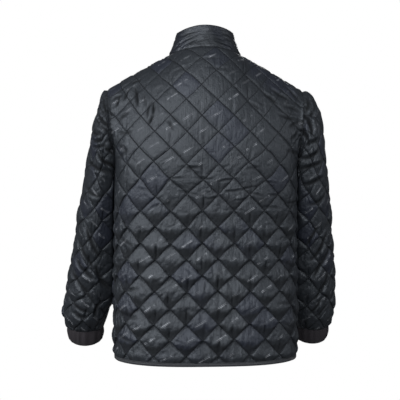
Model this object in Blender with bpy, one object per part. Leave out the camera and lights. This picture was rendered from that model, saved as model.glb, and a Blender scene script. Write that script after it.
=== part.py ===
"""A quilted jacket, filled out as if worn, with nobody in it.

Metres, +Z up. +X is the wearer's right, +Y the way the wearer faces, and the origin is the middle
of the neck opening at the height where the shoulder seams meet the collar.
"""

import math
from collections import namedtuple

import bmesh
import bpy
import numpy as np
from mathutils import Matrix, Vector

# Cloth and seams.
WALL = 0.004  # quilted cloth: two layers of nylon with wadding between them
RIB_WALL = 0.0025  # folded rib knit
SEAM_GAP = 0.0003  # between neighbouring pieces
SQUARENESS = 2 / 3  # exponent of the torso's section: 1 is an ellipse, less is boxier

# Torso: its sections from the hem up to the underarm.
Section = namedtuple("Section", "height half_width back_depth front_depth")
TORSO = (
    Section(-0.715, 0.2135, 0.134, 0.138),
    Section(-0.640, 0.2150, 0.138, 0.141),
    Section(-0.540, 0.2145, 0.136, 0.142),
    Section(-0.440, 0.2130, 0.131, 0.142),
    Section(-0.340, 0.2145, 0.136, 0.145),
    Section(-0.262, 0.2150, 0.140, 0.144),
)
UNDERARM = TORSO[-1].height
HEM = -0.709  # at the side seams and the front
BACK_DROP = 0.006  # how much lower the hem hangs at centre back
BINDING_HEIGHT = 0.009
BINDING_WALL = 0.005

# Neck and shoulders.
NECK_HALF_WIDTH = 0.086
NECK_BACK = 0.070
NECK_FRONT = 0.084
NECK_RISE = 0.013  # of the neck seam at centre back
NECK_DROP = 0.075  # of the neck seam at centre front

# Collar: its rows from the neck seam up.
CollarRow = namedtuple("CollarRow", "share half_width back_depth")
COLLAR = (
    CollarRow(0.00, 0.0860, 0.0700),
    CollarRow(0.30, 0.0790, 0.0640),
    CollarRow(0.60, 0.0735, 0.0600),
    CollarRow(0.85, 0.0700, 0.0580),
    CollarRow(1.00, 0.0680, 0.0575),
)
COLLAR_HEIGHT = 0.052

# Sleeves: their rings from the armhole to the cuff, as the right one hangs. Outer is the ring's point
# furthest from the body, inner the one next to the body, and tilt is how much the ring's front is
# higher than its back. The last two columns are how much further out those points are on the left.
Ring = namedtuple(
    "Ring", "outer_x outer_z inner_x inner_z centre_y half_depth tilt left_outer left_inner"
)
SLEEVE = (
    Ring(0.2320, -0.083, 0.2150, -0.262, 0.000, 0.066, 0.00, 0.0000, 0.000),
    Ring(0.2540, -0.100, 0.2165, -0.266, 0.000, 0.070, 0.02, -0.0140, 0.000),
    Ring(0.2710, -0.128, 0.2175, -0.273, 0.002, 0.073, 0.05, -0.0190, 0.000),
    Ring(0.2790, -0.160, 0.2180, -0.283, 0.005, 0.074, 0.09, -0.0170, 0.000),
    Ring(0.2840, -0.200, 0.2185, -0.297, 0.009, 0.074, 0.14, -0.0150, 0.000),
    Ring(0.2895, -0.240, 0.2185, -0.315, 0.015, 0.073, 0.18, -0.0140, 0.000),
    Ring(0.2970, -0.282, 0.2185, -0.340, 0.023, 0.072, 0.21, -0.0130, 0.000),
    Ring(0.3020, -0.326, 0.2185, -0.371, 0.033, 0.070, 0.24, -0.0110, 0.000),
    Ring(0.3075, -0.371, 0.2180, -0.406, 0.044, 0.068, 0.26, -0.0070, 0.000),
    Ring(0.3125, -0.417, 0.2170, -0.444, 0.056, 0.067, 0.28, -0.0065, 0.000),
    Ring(0.3195, -0.463, 0.2150, -0.483, 0.068, 0.066, 0.30, -0.0055, 0.000),
    Ring(0.3255, -0.508, 0.2130, -0.521, 0.080, 0.065, 0.31, -0.0030, 0.000),
    Ring(0.3285, -0.550, 0.2120, -0.558, 0.091, 0.064, 0.32, 0.0010, 0.003),
    Ring(0.3290, -0.588, 0.2140, -0.591, 0.101, 0.062, 0.32, 0.0075, 0.009),
    Ring(0.3285, -0.615, 0.2190, -0.616, 0.108, 0.058, 0.30, 0.0110, 0.011),
    Ring(0.3235, -0.638, 0.2260, -0.638, 0.114, 0.050, 0.26, 0.0125, 0.011),
    Ring(0.3195, -0.652, 0.2310, -0.652, 0.117, 0.043, 0.22, 0.0120, 0.011),
)
CUFF_END = Ring(0.3160, -0.6795, 0.2330, -0.6795, 0.127, 0.041, 0.42, 0.0120, 0.011)
SLEEVE_POINTS = 20

# Top edges of a half panel, from the side seam to the centre: the share of the half chest that
# each ends at, and how many columns of facets lead to it.
TopEdge = namedtuple("TopEdge", "chest_share columns")
ARMHOLE_EDGE = TopEdge(0.28, 10)
SHOULDER_EDGE = TopEdge(0.68, 4)
NECK_EDGE = TopEdge(1.00, 4)
PANEL_ROWS = 16
FINE = 80  # points along a curve that is then divided by its length

# Zip, measured across from its middle and inwards from the cloth's outer surface.
ZIP_EDGE = 0.0075  # half the gap between the fronts
TAPE_INNER = 0.0028
TAPE_DEPTH = (0.0012, 0.0024)
CHAIN_HALF = 0.0025
CHAIN_DEPTH = (0.0006, 0.0029)
SLIDER_HEIGHT = -0.040  # of its middle
SLIDER_SIZE = (0.0090, 0.0110)
PLATE = 0.0012
PLATE_GAP = 0.0003  # from the chain
POST_SIZE = (0.0044, 0.0030)
PIVOT_OUT = 0.0030  # from the slider's face to the pin's axis
PIN_RADIUS = 0.0006
LUG_INNER = 0.0021
LUG_WALL = 0.0011
LUG_RADIUS = 0.0015
EYE_HALF = 0.0017
EYE_RADIUS = 0.0019
EYE_BORE = 0.0010
TAB_LENGTH = 0.0240
TAB_HALF_WIDTH = 0.0034
TAB_WALL = 0.0014
TAB_NECK = 0.0034  # from the pin's axis to where the tab widens
NECK_OVERLAP = 0.0006  # how far the narrow neck runs on into the tab
TAB_CORNER = 0.0022

Finish = namedtuple("Finish", "colour roughness metallic")
QUILTED_NYLON = Finish((0.052, 0.056, 0.066), 0.45, 0.0)
RIB_KNIT = Finish((0.022, 0.021, 0.024), 0.90, 0.0)
BINDING_CLOTH = Finish((0.030, 0.032, 0.038), 0.50, 0.0)
ZIP_TAPE = Finish((0.016, 0.017, 0.020), 0.85, 0.0)
ZIP_NYLON = Finish((0.018, 0.018, 0.021), 0.40, 0.0)
ZIP_METAL = Finish((0.140, 0.140, 0.150), 0.35, 1.0)


def clear_scene():
    for obj in list(bpy.data.objects):
        bpy.data.objects.remove(obj)


def material_of(name, finish):
    material = bpy.data.materials.new(name)
    material.use_nodes = True
    shader = material.node_tree.nodes["Principled BSDF"]
    shader.inputs["Base Color"].default_value = (*finish.colour, 1)
    shader.inputs["Roughness"].default_value = finish.roughness
    shader.inputs["Metallic"].default_value = finish.metallic
    return material


def mesh_object(name, points, faces, finish):
    """An object from its points and faces, with its normals facing out."""
    mesh = bpy.data.meshes.new(name)
    mesh.from_pydata([tuple(map(float, point)) for point in points], [], faces)
    work = bmesh.new()
    work.from_mesh(mesh)
    bmesh.ops.recalc_face_normals(work, faces=work.faces)
    work.to_mesh(mesh)
    work.free()
    mesh.materials.append(material_of(name, finish))
    mesh.shade_smooth()
    mesh.set_sharp_from_angle(angle=math.radians(40))
    obj = bpy.data.objects.new(name, mesh)
    bpy.context.scene.collection.objects.link(obj)
    return obj


def wall(name, outer, inner, finish, ring=False):
    """A closed wall between two grids, [row, column, xyz]. Ring joins the last column to the first."""
    rows, columns = outer.shape[:2]
    size = rows * columns

    def at(side, row, column):
        return side * size + row * columns + column % columns

    faces = []
    for row in range(rows - 1):
        for column in range(columns if ring else columns - 1):
            quad = [(row, column), (row, column + 1), (row + 1, column + 1), (row + 1, column)]
            faces.append([at(0, *corner) for corner in quad])
            faces.append([at(1, *corner) for corner in reversed(quad)])
    for row in (0, rows - 1):
        for column in range(columns if ring else columns - 1):
            rim = [at(0, row, column), at(0, row, column + 1), at(1, row, column + 1), at(1, row, column)]
            faces.append(rim if row else rim[::-1])
    if not ring:
        for column in (0, columns - 1):
            for row in range(rows - 1):
                rim = [at(0, row, column), at(0, row + 1, column), at(1, row + 1, column), at(1, row, column)]
                faces.append(rim[::-1] if column else rim)
    points = np.concatenate([outer.reshape(-1, 3), inner.reshape(-1, 3)])
    return mesh_object(name, points, faces, finish)


def mirrored(grid):
    """The grid on the other side of the jacket, with its columns in the opposite order."""
    return grid[:, ::-1] * np.array([-1.0, 1.0, 1.0])


def unit(vectors):
    return vectors / np.linalg.norm(vectors, axis=-1, keepdims=True)


def grid_normals(grid, away_from, ring=False):
    """Normals of a grid of points, turned away from a point or from one point for each row."""
    if ring:
        around = np.roll(grid, -1, axis=1) - np.roll(grid, 1, axis=1)
    else:
        around = np.gradient(grid, axis=1)
    normals = unit(np.cross(around, np.gradient(grid, axis=0)))
    outward = ((grid - away_from) * normals).sum(axis=-1, keepdims=True)
    return normals * np.sign(outward)


def table_value(height, rows, column):
    """A column of a table read at a height, with a Catmull-Rom curve through its rows."""
    heights = [row[0] for row in rows]
    values = [getattr(row, column) for row in rows]
    height = min(max(height, heights[0]), heights[-1])
    k = min(int(np.searchsorted(heights, height, side="right")) - 1, len(rows) - 2)
    before = values[max(k - 1, 0)]
    after = values[min(k + 2, len(rows) - 1)]
    start, end = values[k], values[k + 1]
    t = (height - heights[k]) / (heights[k + 1] - heights[k])
    slope_in, slope_out = (end - before) / 2, (after - start) / 2
    return (
        start * (2 * t**3 - 3 * t**2 + 1)
        + slope_in * (t**3 - 2 * t**2 + t)
        + end * (3 * t**2 - 2 * t**3)
        + slope_out * (t**3 - t**2)
    )


def signed_power(value, exponent):
    return math.copysign(abs(value) ** exponent, value)


def torso_point(turn, height):
    """A point of the torso below the underarm. Turn is 0 at the right side seam and 90 degrees in front."""
    depth = table_value(height, TORSO, "front_depth" if turn > 0 else "back_depth")
    return np.array(
        [
            table_value(height, TORSO, "half_width") * signed_power(math.cos(turn), SQUARENESS),
            depth * signed_power(math.sin(turn), SQUARENESS),
            height,
        ]
    )


def chest_turns(side, shares):
    """Turns that reach these shares of the half chest's length, from the side seam to the centre."""
    last = math.pi / 2
    if side > 0:
        last = math.acos((ZIP_EDGE / TORSO[-1].half_width) ** (1 / SQUARENESS))
    turns = np.linspace(0, last, 40 * FINE) * side
    points = np.array([torso_point(turn, UNDERARM) for turn in turns])
    lengths = np.concatenate([[0], np.cumsum(np.linalg.norm(np.diff(points, axis=0), axis=1))])
    return np.interp(np.array(shares) * lengths[-1], lengths, turns)


def ring_points(ring, angles, left=False):
    """Points of a ring on the right side: angle 0 is its outer point, 180 degrees the inner, 90 the front.

    With left, they are those of the left sleeve, mirrored to the right side.
    """
    outer = np.array([ring.outer_x + left * ring.left_outer, ring.centre_y, ring.outer_z])
    inner = np.array([ring.inner_x + left * ring.left_inner, ring.centre_y, ring.inner_z])
    across = (outer - inner) / 2
    along = np.array([0, ring.half_depth, ring.half_depth * ring.tilt])
    angles = np.asarray(angles)[:, None]
    return (outer + inner) / 2 + across * np.cos(angles) + along * np.sin(angles)


def neck_point(turn):
    """A point of the neck seam: turn is 0 at centre back, 90 degrees at the shoulder, 180 at centre front."""
    across, back = math.sin(turn), math.cos(turn)
    depth = NECK_BACK if back > 0 else NECK_FRONT
    rise = NECK_RISE if back > 0 else -NECK_DROP
    return np.array([NECK_HALF_WIDTH * across, -depth * back, rise * back * back])


def neck_turns(side):
    """Turns of the neck seam's points on the right half, from the shoulder to the centre."""
    last = 0 if side < 0 else math.pi - math.asin(ZIP_EDGE / NECK_HALF_WIDTH)
    return np.linspace(math.pi / 2, last, NECK_EDGE.columns + 1)


def upward(lean, side, spread=0.0):
    """The way a panel runs at its top edge: lean is 0 upright and 90 degrees lying over the shoulder."""
    return np.array([spread * math.cos(lean), -side * math.sin(lean), math.cos(lean)])


def top_edge(side):
    """The top of the right half panel, from underarm to centre: its points, and the ways it runs there."""
    armhole = SLEEVE[0]
    spread = (armhole.outer_x - armhole.inner_x) / (armhole.outer_z - armhole.inner_z)
    angles = np.linspace(math.pi, 0, ARMHOLE_EDGE.columns + 1) * side
    points = list(ring_points(armhole, angles))
    ways = [upward(math.pi / 2 * ((1 + math.cos(angle)) / 2) ** 2, side, spread) for angle in angles]
    tip, neck = points[-1], neck_point(math.pi / 2)
    for k in range(1, SHOULDER_EDGE.columns + 1):
        points.append(tip + (neck - tip) * k / SHOULDER_EDGE.columns)
        ways.append(upward(math.pi / 2, side))
    for turn in neck_turns(side)[1:]:
        points.append(neck_point(turn))
        ways.append(upward(math.radians(90 - 45 * abs(math.cos(turn))), side))
    return points, ways


def hem_height(turn):
    return HEM - BACK_DROP * max(0.0, -math.sin(turn)) ** 2


def column_shares():
    shares = [0.0]
    for edge in (ARMHOLE_EDGE, SHOULDER_EDGE, NECK_EDGE):
        start = shares[-1]
        for k in range(1, edge.columns + 1):
            shares.append(start + (edge.chest_share - start) * k / edge.columns)
    return shares


def hermite(start, end, leave, arrive, steps):
    t = np.linspace(0, 1, steps)[:, None]
    return (
        start * (2 * t**3 - 3 * t**2 + 1)
        + leave * (t**3 - 2 * t**2 + t)
        + end * (3 * t**2 - 2 * t**3)
        + arrive * (t**3 - t**2)
    )


def divided(curve, shares):
    """Points at these shares of a curve's length."""
    lengths = np.concatenate([[0], np.cumsum(np.linalg.norm(np.diff(curve, axis=0), axis=1))])
    where = np.asarray(shares) * lengths[-1]
    return np.stack([np.interp(where, lengths, curve[:, axis]) for axis in range(3)], axis=1)


def half_panel(side):
    """The outer surface of the right half of the back (side -1) or the front (side 1): [row, column, xyz]."""
    rows = 1 - (1 - np.linspace(0, 1, PANEL_ROWS + 1)) ** 1.3
    columns = []
    for turn, top, way in zip(chest_turns(side, column_shares()), *top_edge(side)):
        bottom = hem_height(turn) + BINDING_HEIGHT + SEAM_GAP
        below = [torso_point(turn, height) for height in np.linspace(bottom, UNDERARM, FINE)]
        chord = np.linalg.norm(top - below[-1])
        above = hermite(below[-1], top, np.array([0, 0, chord]), way * chord, FINE)
        columns.append(divided(np.concatenate([below, above[1:]]), rows))
    return np.stack(columns, axis=1)


def shared_normals(back, front):
    """Normals of both half panels, the same on both sides of the side seam and the shoulder seam."""
    middle = np.array([0, 0, -0.30])
    normals = [grid_normals(back, middle), grid_normals(front, middle)]
    first, last = ARMHOLE_EDGE.columns, ARMHOLE_EDGE.columns + SHOULDER_EDGE.columns
    for seam in (np.s_[:, 0], np.s_[-1, first : last + 1]):
        both = unit(normals[0][seam] + normals[1][seam])
        normals[0][seam] = both
        normals[1][seam] = both
    normals[0][:, -1, 0] = 0  # centre back
    normals[0] = unit(normals[0])
    return normals


def drawn_back(grid, centre_too):
    """The grid with its side seam and top edge moved half a seam gap into the panel."""
    drawn = grid.copy()
    drawn[:, 0] += unit(grid[:, 1] - grid[:, 0]) * SEAM_GAP / 2
    drawn[-1] += unit(grid[-2] - grid[-1]) * SEAM_GAP / 2
    if centre_too:
        drawn[:, -1, 0] = ZIP_EDGE
    return drawn


def make_body_panels():
    """Back and fronts. Returns the outer points and normals along the right front's edge at the zip."""
    back, front = half_panel(-1), half_panel(1)
    back_normals, front_normals = shared_normals(back, front)
    inside = drawn_back(back - back_normals * WALL, False)
    back = drawn_back(back, False)
    wall(
        "back",
        np.concatenate([back, mirrored(back)[:, 1:]], axis=1),
        np.concatenate([inside, mirrored(inside)[:, 1:]], axis=1),
        QUILTED_NYLON,
    )
    inside = drawn_back(front - front_normals * WALL, True)
    front = drawn_back(front, True)
    wall("front_right", front, inside, QUILTED_NYLON)
    wall("front_left", mirrored(front), mirrored(inside), QUILTED_NYLON)
    return front[:, -1]


def make_hem_binding():
    """One C-shaped band, from the zip round the back to the zip again."""
    turns = np.concatenate([chest_turns(1, column_shares())[::-1], chest_turns(-1, column_shares())[1:]])
    outer, inner = [], []
    for turn in turns:
        bottom = hem_height(turn)
        heights = (bottom, bottom + BINDING_HEIGHT)
        ahead, behind = torso_point(turn + 1e-3, bottom), torso_point(turn - 1e-3, bottom)
        out = unit(np.cross(ahead - behind, (0, 0, 1)))
        if abs(math.cos(turn)) < 1e-6:
            out = np.array([0, math.copysign(1, turn), 0])
        proud = (BINDING_WALL - WALL) / 2
        outer.append([torso_point(turn, height) + out * proud for height in heights])
        inner.append([torso_point(turn, height) - out * (WALL + proud) for height in heights])
    outer, inner = (np.swapaxes(np.array(grid), 0, 1) for grid in (outer, inner))
    outer[:, 0, 0] = inner[:, 0, 0] = ZIP_EDGE
    outer = np.concatenate([outer, mirrored(outer)[:, 1:]], axis=1)
    inner = np.concatenate([inner, mirrored(inner)[:, 1:]], axis=1)
    wall("hem_binding", outer, inner, BINDING_CLOTH)


def make_collar():
    """A C-shaped standing band. Returns the outer points of its right edge at the zip."""
    turns = np.concatenate([neck_turns(1)[::-1], neck_turns(-1)[1:]])
    open_turn = math.asin(ZIP_EDGE / NECK_HALF_WIDTH)
    grids = []
    for inset in (0, WALL):
        rows = []
        for row in COLLAR:
            half_width = row.half_width - inset
            edge = math.asin(ZIP_EDGE / half_width)
            points = []
            for turn in turns:
                if turn > math.pi / 2:
                    opened = (turn - math.pi / 2) / (math.pi / 2 - open_turn)
                    turned = math.pi / 2 + opened * (math.pi / 2 - edge)
                else:
                    turned = turn
                seam = neck_point(turn)
                depth = row.back_depth if turned < math.pi / 2 else NECK_FRONT
                lift = SEAM_GAP + COLLAR_HEIGHT * row.share
                points.append(
                    (half_width * math.sin(turned), -(depth - inset) * math.cos(turned), seam[2] + lift)
                )
            rows.append(points)
        half = np.array(rows)
        half[:, -1, 0] = 0
        grids.append(np.concatenate([half, mirrored(half)[:, 1:]], axis=1))
    wall("collar", *grids, QUILTED_NYLON)
    return grids[0][:, 0]


def make_sleeve(name, cuff_name, side):
    """A sleeve and its cuff: side is 1 on the wearer's right."""
    angles = np.linspace(0, 2 * math.pi, SLEEVE_POINTS, endpoint=False)
    outer = np.array([ring_points(ring, angles, side < 0) for ring in SLEEVE])
    centres = outer.mean(axis=1, keepdims=True)
    inner = outer - grid_normals(outer, centres, ring=True) * WALL
    for end in (0, -1):
        inner[end] = outer[end] - unit(outer[end] - centres[end]) * WALL
    quarter = SLEEVE_POINTS // 4
    armhole = unit(np.cross(outer[0, quarter] - outer[0, 3 * quarter], outer[0, 2 * quarter] - outer[0, 0]))
    shift = armhole * np.sign(armhole[0]) * SEAM_GAP
    outer[0] += shift
    inner[0] += shift
    flip = np.array([side, 1, 1])
    wall(name, outer * flip, inner * flip, QUILTED_NYLON, ring=True)
    make_cuff(cuff_name, outer[-1], ring_points(CUFF_END, angles, side < 0), flip)


def make_cuff(name, seam, end, flip):
    """A tube of rib knit from the sleeve's last ring to the cuff's end."""
    seam = seam - np.array([0, 0, SEAM_GAP])
    rings = np.array([seam, (seam + end) / 2, end])
    centres = rings.mean(axis=1, keepdims=True)
    inner = rings - unit(rings - centres) * RIB_WALL
    wall(name, rings * flip, inner * flip, RIB_KNIT, ring=True)


def zip_path(front_edge, collar_edge):
    """The cloth's outer surface along the zip, as points and normals in the Y-Z plane."""
    path = np.concatenate([front_edge[:-1], collar_edge[:-1]])[:, 1:]
    start = np.array([[path[0, 0], HEM + 0.0010]])
    top = collar_edge[-1:, 1:] - np.array([[0, 0.0010]])
    path = np.concatenate([start, path, top])
    along = unit(np.gradient(path, axis=0))
    normals = np.stack([along[:, 1], -along[:, 0]], axis=1)
    return path, normals


def strip(name, path, normals, low_x, high_x, depths, finish):
    """A flat strip that follows the zip's path between two distances from its middle."""
    grids = []
    for depth in depths:
        line = path - normals * depth
        grids.append(
            np.stack([np.column_stack([np.full(len(line), x), line]) for x in (low_x, high_x)], axis=1)
        )
    return wall(name, *grids, finish)


def cut_path(path, normals, top):
    """The part of the path below a height."""
    below = path[:, 1] < top
    last = [np.interp(top, path[:, 1], values) for values in (path[:, 0], normals[:, 0], normals[:, 1])]
    path = np.concatenate([path[below], [[last[0], top]]])
    return path, np.concatenate([normals[below], [last[1:]]])


def make_zip(front_edge, collar_edge):
    path, normals = zip_path(front_edge, collar_edge)
    tape_outer = ZIP_EDGE - SEAM_GAP
    strip("zip_tape_right", path, normals, TAPE_INNER, tape_outer, TAPE_DEPTH, ZIP_TAPE)
    strip("zip_tape_left", path, normals, -tape_outer, -TAPE_INNER, TAPE_DEPTH, ZIP_TAPE)
    top = SLIDER_HEIGHT + SLIDER_SIZE[1] / 2 - POST_SIZE[1] - 2 * SEAM_GAP
    below = cut_path(path, normals, top)
    strip("zip_chain", *below, -CHAIN_HALF, CHAIN_HALF, CHAIN_DEPTH, ZIP_NYLON)
    return float(np.interp(SLIDER_HEIGHT, path[:, 1], path[:, 0]))


def add_box(work, centre, size):
    matrix = Matrix.Translation(centre) @ Matrix.Diagonal((*size, 1))
    return bmesh.ops.create_cube(work, size=1, matrix=matrix)["verts"]


def box_object(name, centre, size, finish):
    work = bmesh.new()
    add_box(work, centre, size)
    return object_from(name, work, finish)


def rod_object(name, centre, radius, half_length, finish, segments=20):
    """A round rod along X."""
    work = bmesh.new()
    matrix = Matrix.Translation(centre) @ Matrix.Rotation(math.pi / 2, 4, "Y")
    bmesh.ops.create_cone(
        work,
        cap_ends=True,
        segments=segments,
        radius1=radius,
        radius2=radius,
        depth=2 * half_length,
        matrix=matrix,
    )
    return object_from(name, work, finish)


def object_from(name, work, finish):
    mesh = bpy.data.meshes.new(name)
    work.to_mesh(mesh)
    work.free()
    mesh.materials.append(material_of(name, finish))
    obj = bpy.data.objects.new(name, mesh)
    bpy.context.scene.collection.objects.link(obj)
    return obj


def combine(obj, other, operation):
    """Joins or cuts an object with a helper, which is then hidden."""
    modifier = obj.modifiers.new(other.name, "BOOLEAN")
    modifier.operation = operation
    modifier.object = other
    other.hide_render = True
    other.display_type = "WIRE"


def bevelled(obj, width, segments=2):
    modifier = obj.modifiers.new("rounded", "BEVEL")
    modifier.width = width
    modifier.segments = segments
    modifier.limit_method = "ANGLE"
    modifier.harden_normals = False


def make_slider(surface_y):
    """Two plates round the chain, the post between them, and two lugs with the pin that carries the pull."""
    front_face = surface_y - CHAIN_DEPTH[0] + PLATE_GAP + PLATE
    back_face = surface_y - CHAIN_DEPTH[1] - PLATE_GAP - PLATE
    pivot = Vector((0, front_face + PIVOT_OUT, SLIDER_HEIGHT))
    slider = box_object(
        "zip_slider",
        (0, front_face - PLATE / 2, SLIDER_HEIGHT),
        (SLIDER_SIZE[0], PLATE, SLIDER_SIZE[1]),
        ZIP_METAL,
    )
    bevelled(slider, 0.0003)
    post_height = SLIDER_HEIGHT + (SLIDER_SIZE[1] - POST_SIZE[1]) / 2
    helpers = [
        box_object(
            "slider_back_plate",
            (0, back_face + PLATE / 2, SLIDER_HEIGHT),
            (SLIDER_SIZE[0], PLATE, SLIDER_SIZE[1]),
            ZIP_METAL,
        ),
        box_object(
            "slider_post",
            (0, (front_face + back_face) / 2, post_height),
            (POST_SIZE[0], front_face - back_face - PLATE, POST_SIZE[1]),
            ZIP_METAL,
        ),
    ]
    for side in (-1, 1):
        x = side * (LUG_INNER + LUG_WALL / 2)
        helpers.append(
            box_object(
                f"slider_lug_{side}",
                (x, front_face + PIVOT_OUT / 2 - PLATE / 4, SLIDER_HEIGHT),
                (LUG_WALL, PIVOT_OUT + PLATE / 2, 2 * LUG_RADIUS),
                ZIP_METAL,
            )
        )
        helpers.append(
            rod_object(f"slider_lug_end_{side}", (x, *pivot[1:]), LUG_RADIUS, LUG_WALL / 2, ZIP_METAL)
        )
    helpers.append(rod_object("slider_pin", pivot, PIN_RADIUS, LUG_INNER + LUG_WALL / 2, ZIP_METAL))
    for helper in helpers:
        combine(slider, helper, "UNION")
    return pivot


def make_pull(pivot):
    """The pull tab, hanging straight down, with its origin on the pin's axis."""
    pull = rod_object("zip_pull", (0, 0, 0), EYE_RADIUS, EYE_HALF, ZIP_METAL, segments=24)
    neck = box_object(
        "pull_neck", (0, 0, -TAB_NECK / 2 - NECK_OVERLAP), (2 * EYE_HALF, TAB_WALL, TAB_NECK), ZIP_METAL
    )
    tab_middle = -(TAB_NECK + TAB_LENGTH) / 2
    tab = box_object(
        "pull_tab", (0, 0, tab_middle), (2 * TAB_HALF_WIDTH, TAB_WALL, TAB_LENGTH - TAB_NECK), ZIP_METAL
    )
    work = bmesh.new()
    work.from_mesh(tab.data)
    corners = [edge for edge in work.edges if abs((edge.verts[0].co - edge.verts[1].co).normalized().y) > 0.9]
    bmesh.ops.bevel(work, geom=corners, offset=TAB_CORNER, segments=5, profile=0.5, affect="EDGES")
    work.to_mesh(tab.data)
    work.free()
    bore = rod_object("pull_bore", (0, 0, 0), EYE_BORE, 2 * EYE_HALF, ZIP_METAL)
    for helper, operation in ((neck, "UNION"), (tab, "UNION"), (bore, "DIFFERENCE")):
        combine(pull, helper, operation)
        helper.parent = pull
    pull.location = pivot


def main():
    clear_scene()
    front_edge = make_body_panels()
    make_hem_binding()
    collar_edge = make_collar()
    make_sleeve("sleeve_right", "cuff_right", 1)
    make_sleeve("sleeve_left", "cuff_left", -1)
    surface_y = make_zip(front_edge, collar_edge)
    make_pull(make_slider(surface_y))


main()
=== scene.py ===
"""A quilted jacket, filled out as if worn: its cloth, knit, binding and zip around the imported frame.

Metres, +Z up. +X is the wearer's right, +Y the way the wearer faces, and the origin is the middle
of the neck opening at the height where the shoulder seams meet the collar.
"""

import math
from collections import namedtuple

import bpy
import numpy as np
from bpy.props import FloatProperty, FloatVectorProperty, IntProperty, PointerProperty
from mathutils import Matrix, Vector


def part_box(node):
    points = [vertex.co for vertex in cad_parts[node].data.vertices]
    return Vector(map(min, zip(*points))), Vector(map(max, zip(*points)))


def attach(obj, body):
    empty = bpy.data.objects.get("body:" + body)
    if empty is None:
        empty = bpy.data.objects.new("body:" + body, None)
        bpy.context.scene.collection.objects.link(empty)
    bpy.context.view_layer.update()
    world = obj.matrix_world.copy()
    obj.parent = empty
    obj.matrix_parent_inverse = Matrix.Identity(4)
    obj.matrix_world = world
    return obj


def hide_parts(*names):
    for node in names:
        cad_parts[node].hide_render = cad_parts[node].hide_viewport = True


bl_info = {
    "name": "Quilted jacket",
    "version": (1, 0, 0),
    "blender": (4, 5, 0),
    "location": "3D View > Sidebar > Quilted jacket",
    "description": "Builds the cloth, knit, binding and zip of a quilted jacket around its frame",
    "category": "Add Mesh",
}

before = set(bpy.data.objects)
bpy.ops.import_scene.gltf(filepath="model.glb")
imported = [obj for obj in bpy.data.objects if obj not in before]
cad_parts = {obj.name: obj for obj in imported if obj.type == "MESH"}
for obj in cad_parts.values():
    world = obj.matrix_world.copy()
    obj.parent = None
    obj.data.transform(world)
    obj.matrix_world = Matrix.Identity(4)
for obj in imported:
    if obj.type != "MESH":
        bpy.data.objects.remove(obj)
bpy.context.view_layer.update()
MM = 0.001

# Form of the jacket, as its solids have it.
WALL = 0.004
SEAM_GAP = 0.0003
TUCK = 0.0004  # how far pieces run under each other at a seam
SQUARENESS = 2 / 3
Section = namedtuple("Section", "height half_width back_depth front_depth")
TORSO = (
    Section(-0.715, 0.2135, 0.134, 0.138),
    Section(-0.640, 0.2150, 0.138, 0.141),
    Section(-0.540, 0.2145, 0.136, 0.142),
    Section(-0.440, 0.2130, 0.131, 0.142),
    Section(-0.340, 0.2145, 0.136, 0.145),
    Section(-0.262, 0.2150, 0.140, 0.144),
)
UNDERARM = TORSO[-1].height
HEM = -0.709
BACK_DROP = 0.006
BINDING_HEIGHT = 0.009
NECK_HALF_WIDTH = 0.086
NECK_BACK = 0.070
NECK_FRONT = 0.084
NECK_RISE = 0.013
NECK_DROP = 0.075
CollarRow = namedtuple("CollarRow", "share half_width back_depth")
COLLAR = (
    CollarRow(0.00, 0.0860, 0.0700),
    CollarRow(0.30, 0.0790, 0.0640),
    CollarRow(0.60, 0.0735, 0.0600),
    CollarRow(0.85, 0.0700, 0.0580),
    CollarRow(1.00, 0.0680, 0.0575),
)
COLLAR_HEIGHT = 0.052
# A ring of the right sleeve, and how far the left one's outer and inner points lie from its mirror image.
Ring = namedtuple(
    "Ring", "outer_x outer_z inner_x inner_z centre_y half_depth tilt left_outer left_inner"
)
SLEEVE = (
    Ring(0.2320, -0.083, 0.2150, -0.262, 0.000, 0.066, 0.00, 0.0000, 0.000),
    Ring(0.2540, -0.100, 0.2165, -0.266, 0.000, 0.070, 0.02, -0.0140, 0.000),
    Ring(0.2710, -0.128, 0.2175, -0.273, 0.002, 0.073, 0.05, -0.0190, 0.000),
    Ring(0.2790, -0.160, 0.2180, -0.283, 0.005, 0.074, 0.09, -0.0170, 0.000),
    Ring(0.2840, -0.200, 0.2185, -0.297, 0.009, 0.074, 0.14, -0.0150, 0.000),
    Ring(0.2895, -0.240, 0.2185, -0.315, 0.015, 0.073, 0.18, -0.0140, 0.000),
    Ring(0.2970, -0.282, 0.2185, -0.340, 0.023, 0.072, 0.21, -0.0130, 0.000),
    Ring(0.3020, -0.326, 0.2185, -0.371, 0.033, 0.070, 0.24, -0.0110, 0.000),
    Ring(0.3075, -0.371, 0.2180, -0.406, 0.044, 0.068, 0.26, -0.0070, 0.000),
    Ring(0.3125, -0.417, 0.2170, -0.444, 0.056, 0.067, 0.28, -0.0065, 0.000),
    Ring(0.3195, -0.463, 0.2150, -0.483, 0.068, 0.066, 0.30, -0.0055, 0.000),
    Ring(0.3255, -0.508, 0.2130, -0.521, 0.080, 0.065, 0.31, -0.0030, 0.000),
    Ring(0.3285, -0.550, 0.2120, -0.558, 0.091, 0.064, 0.32, 0.0010, 0.003),
    Ring(0.3290, -0.588, 0.2140, -0.591, 0.101, 0.062, 0.32, 0.0075, 0.009),
    Ring(0.3285, -0.615, 0.2190, -0.616, 0.108, 0.058, 0.30, 0.0110, 0.011),
    Ring(0.3235, -0.638, 0.2260, -0.638, 0.114, 0.050, 0.26, 0.0125, 0.011),
    Ring(0.3195, -0.652, 0.2310, -0.652, 0.117, 0.043, 0.22, 0.0120, 0.011),
)
CUFF_END = Ring(0.3160, -0.6795, 0.2330, -0.6795, 0.127, 0.041, 0.42, 0.0120, 0.011)
ZIP_EDGE = 0.0075
TOOTH_PITCH = 0.0028
RIB_GAP = 0.0030
SLIDER_HEIGHT = -0.040
SLIDER_LENGTH = 0.0110

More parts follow.
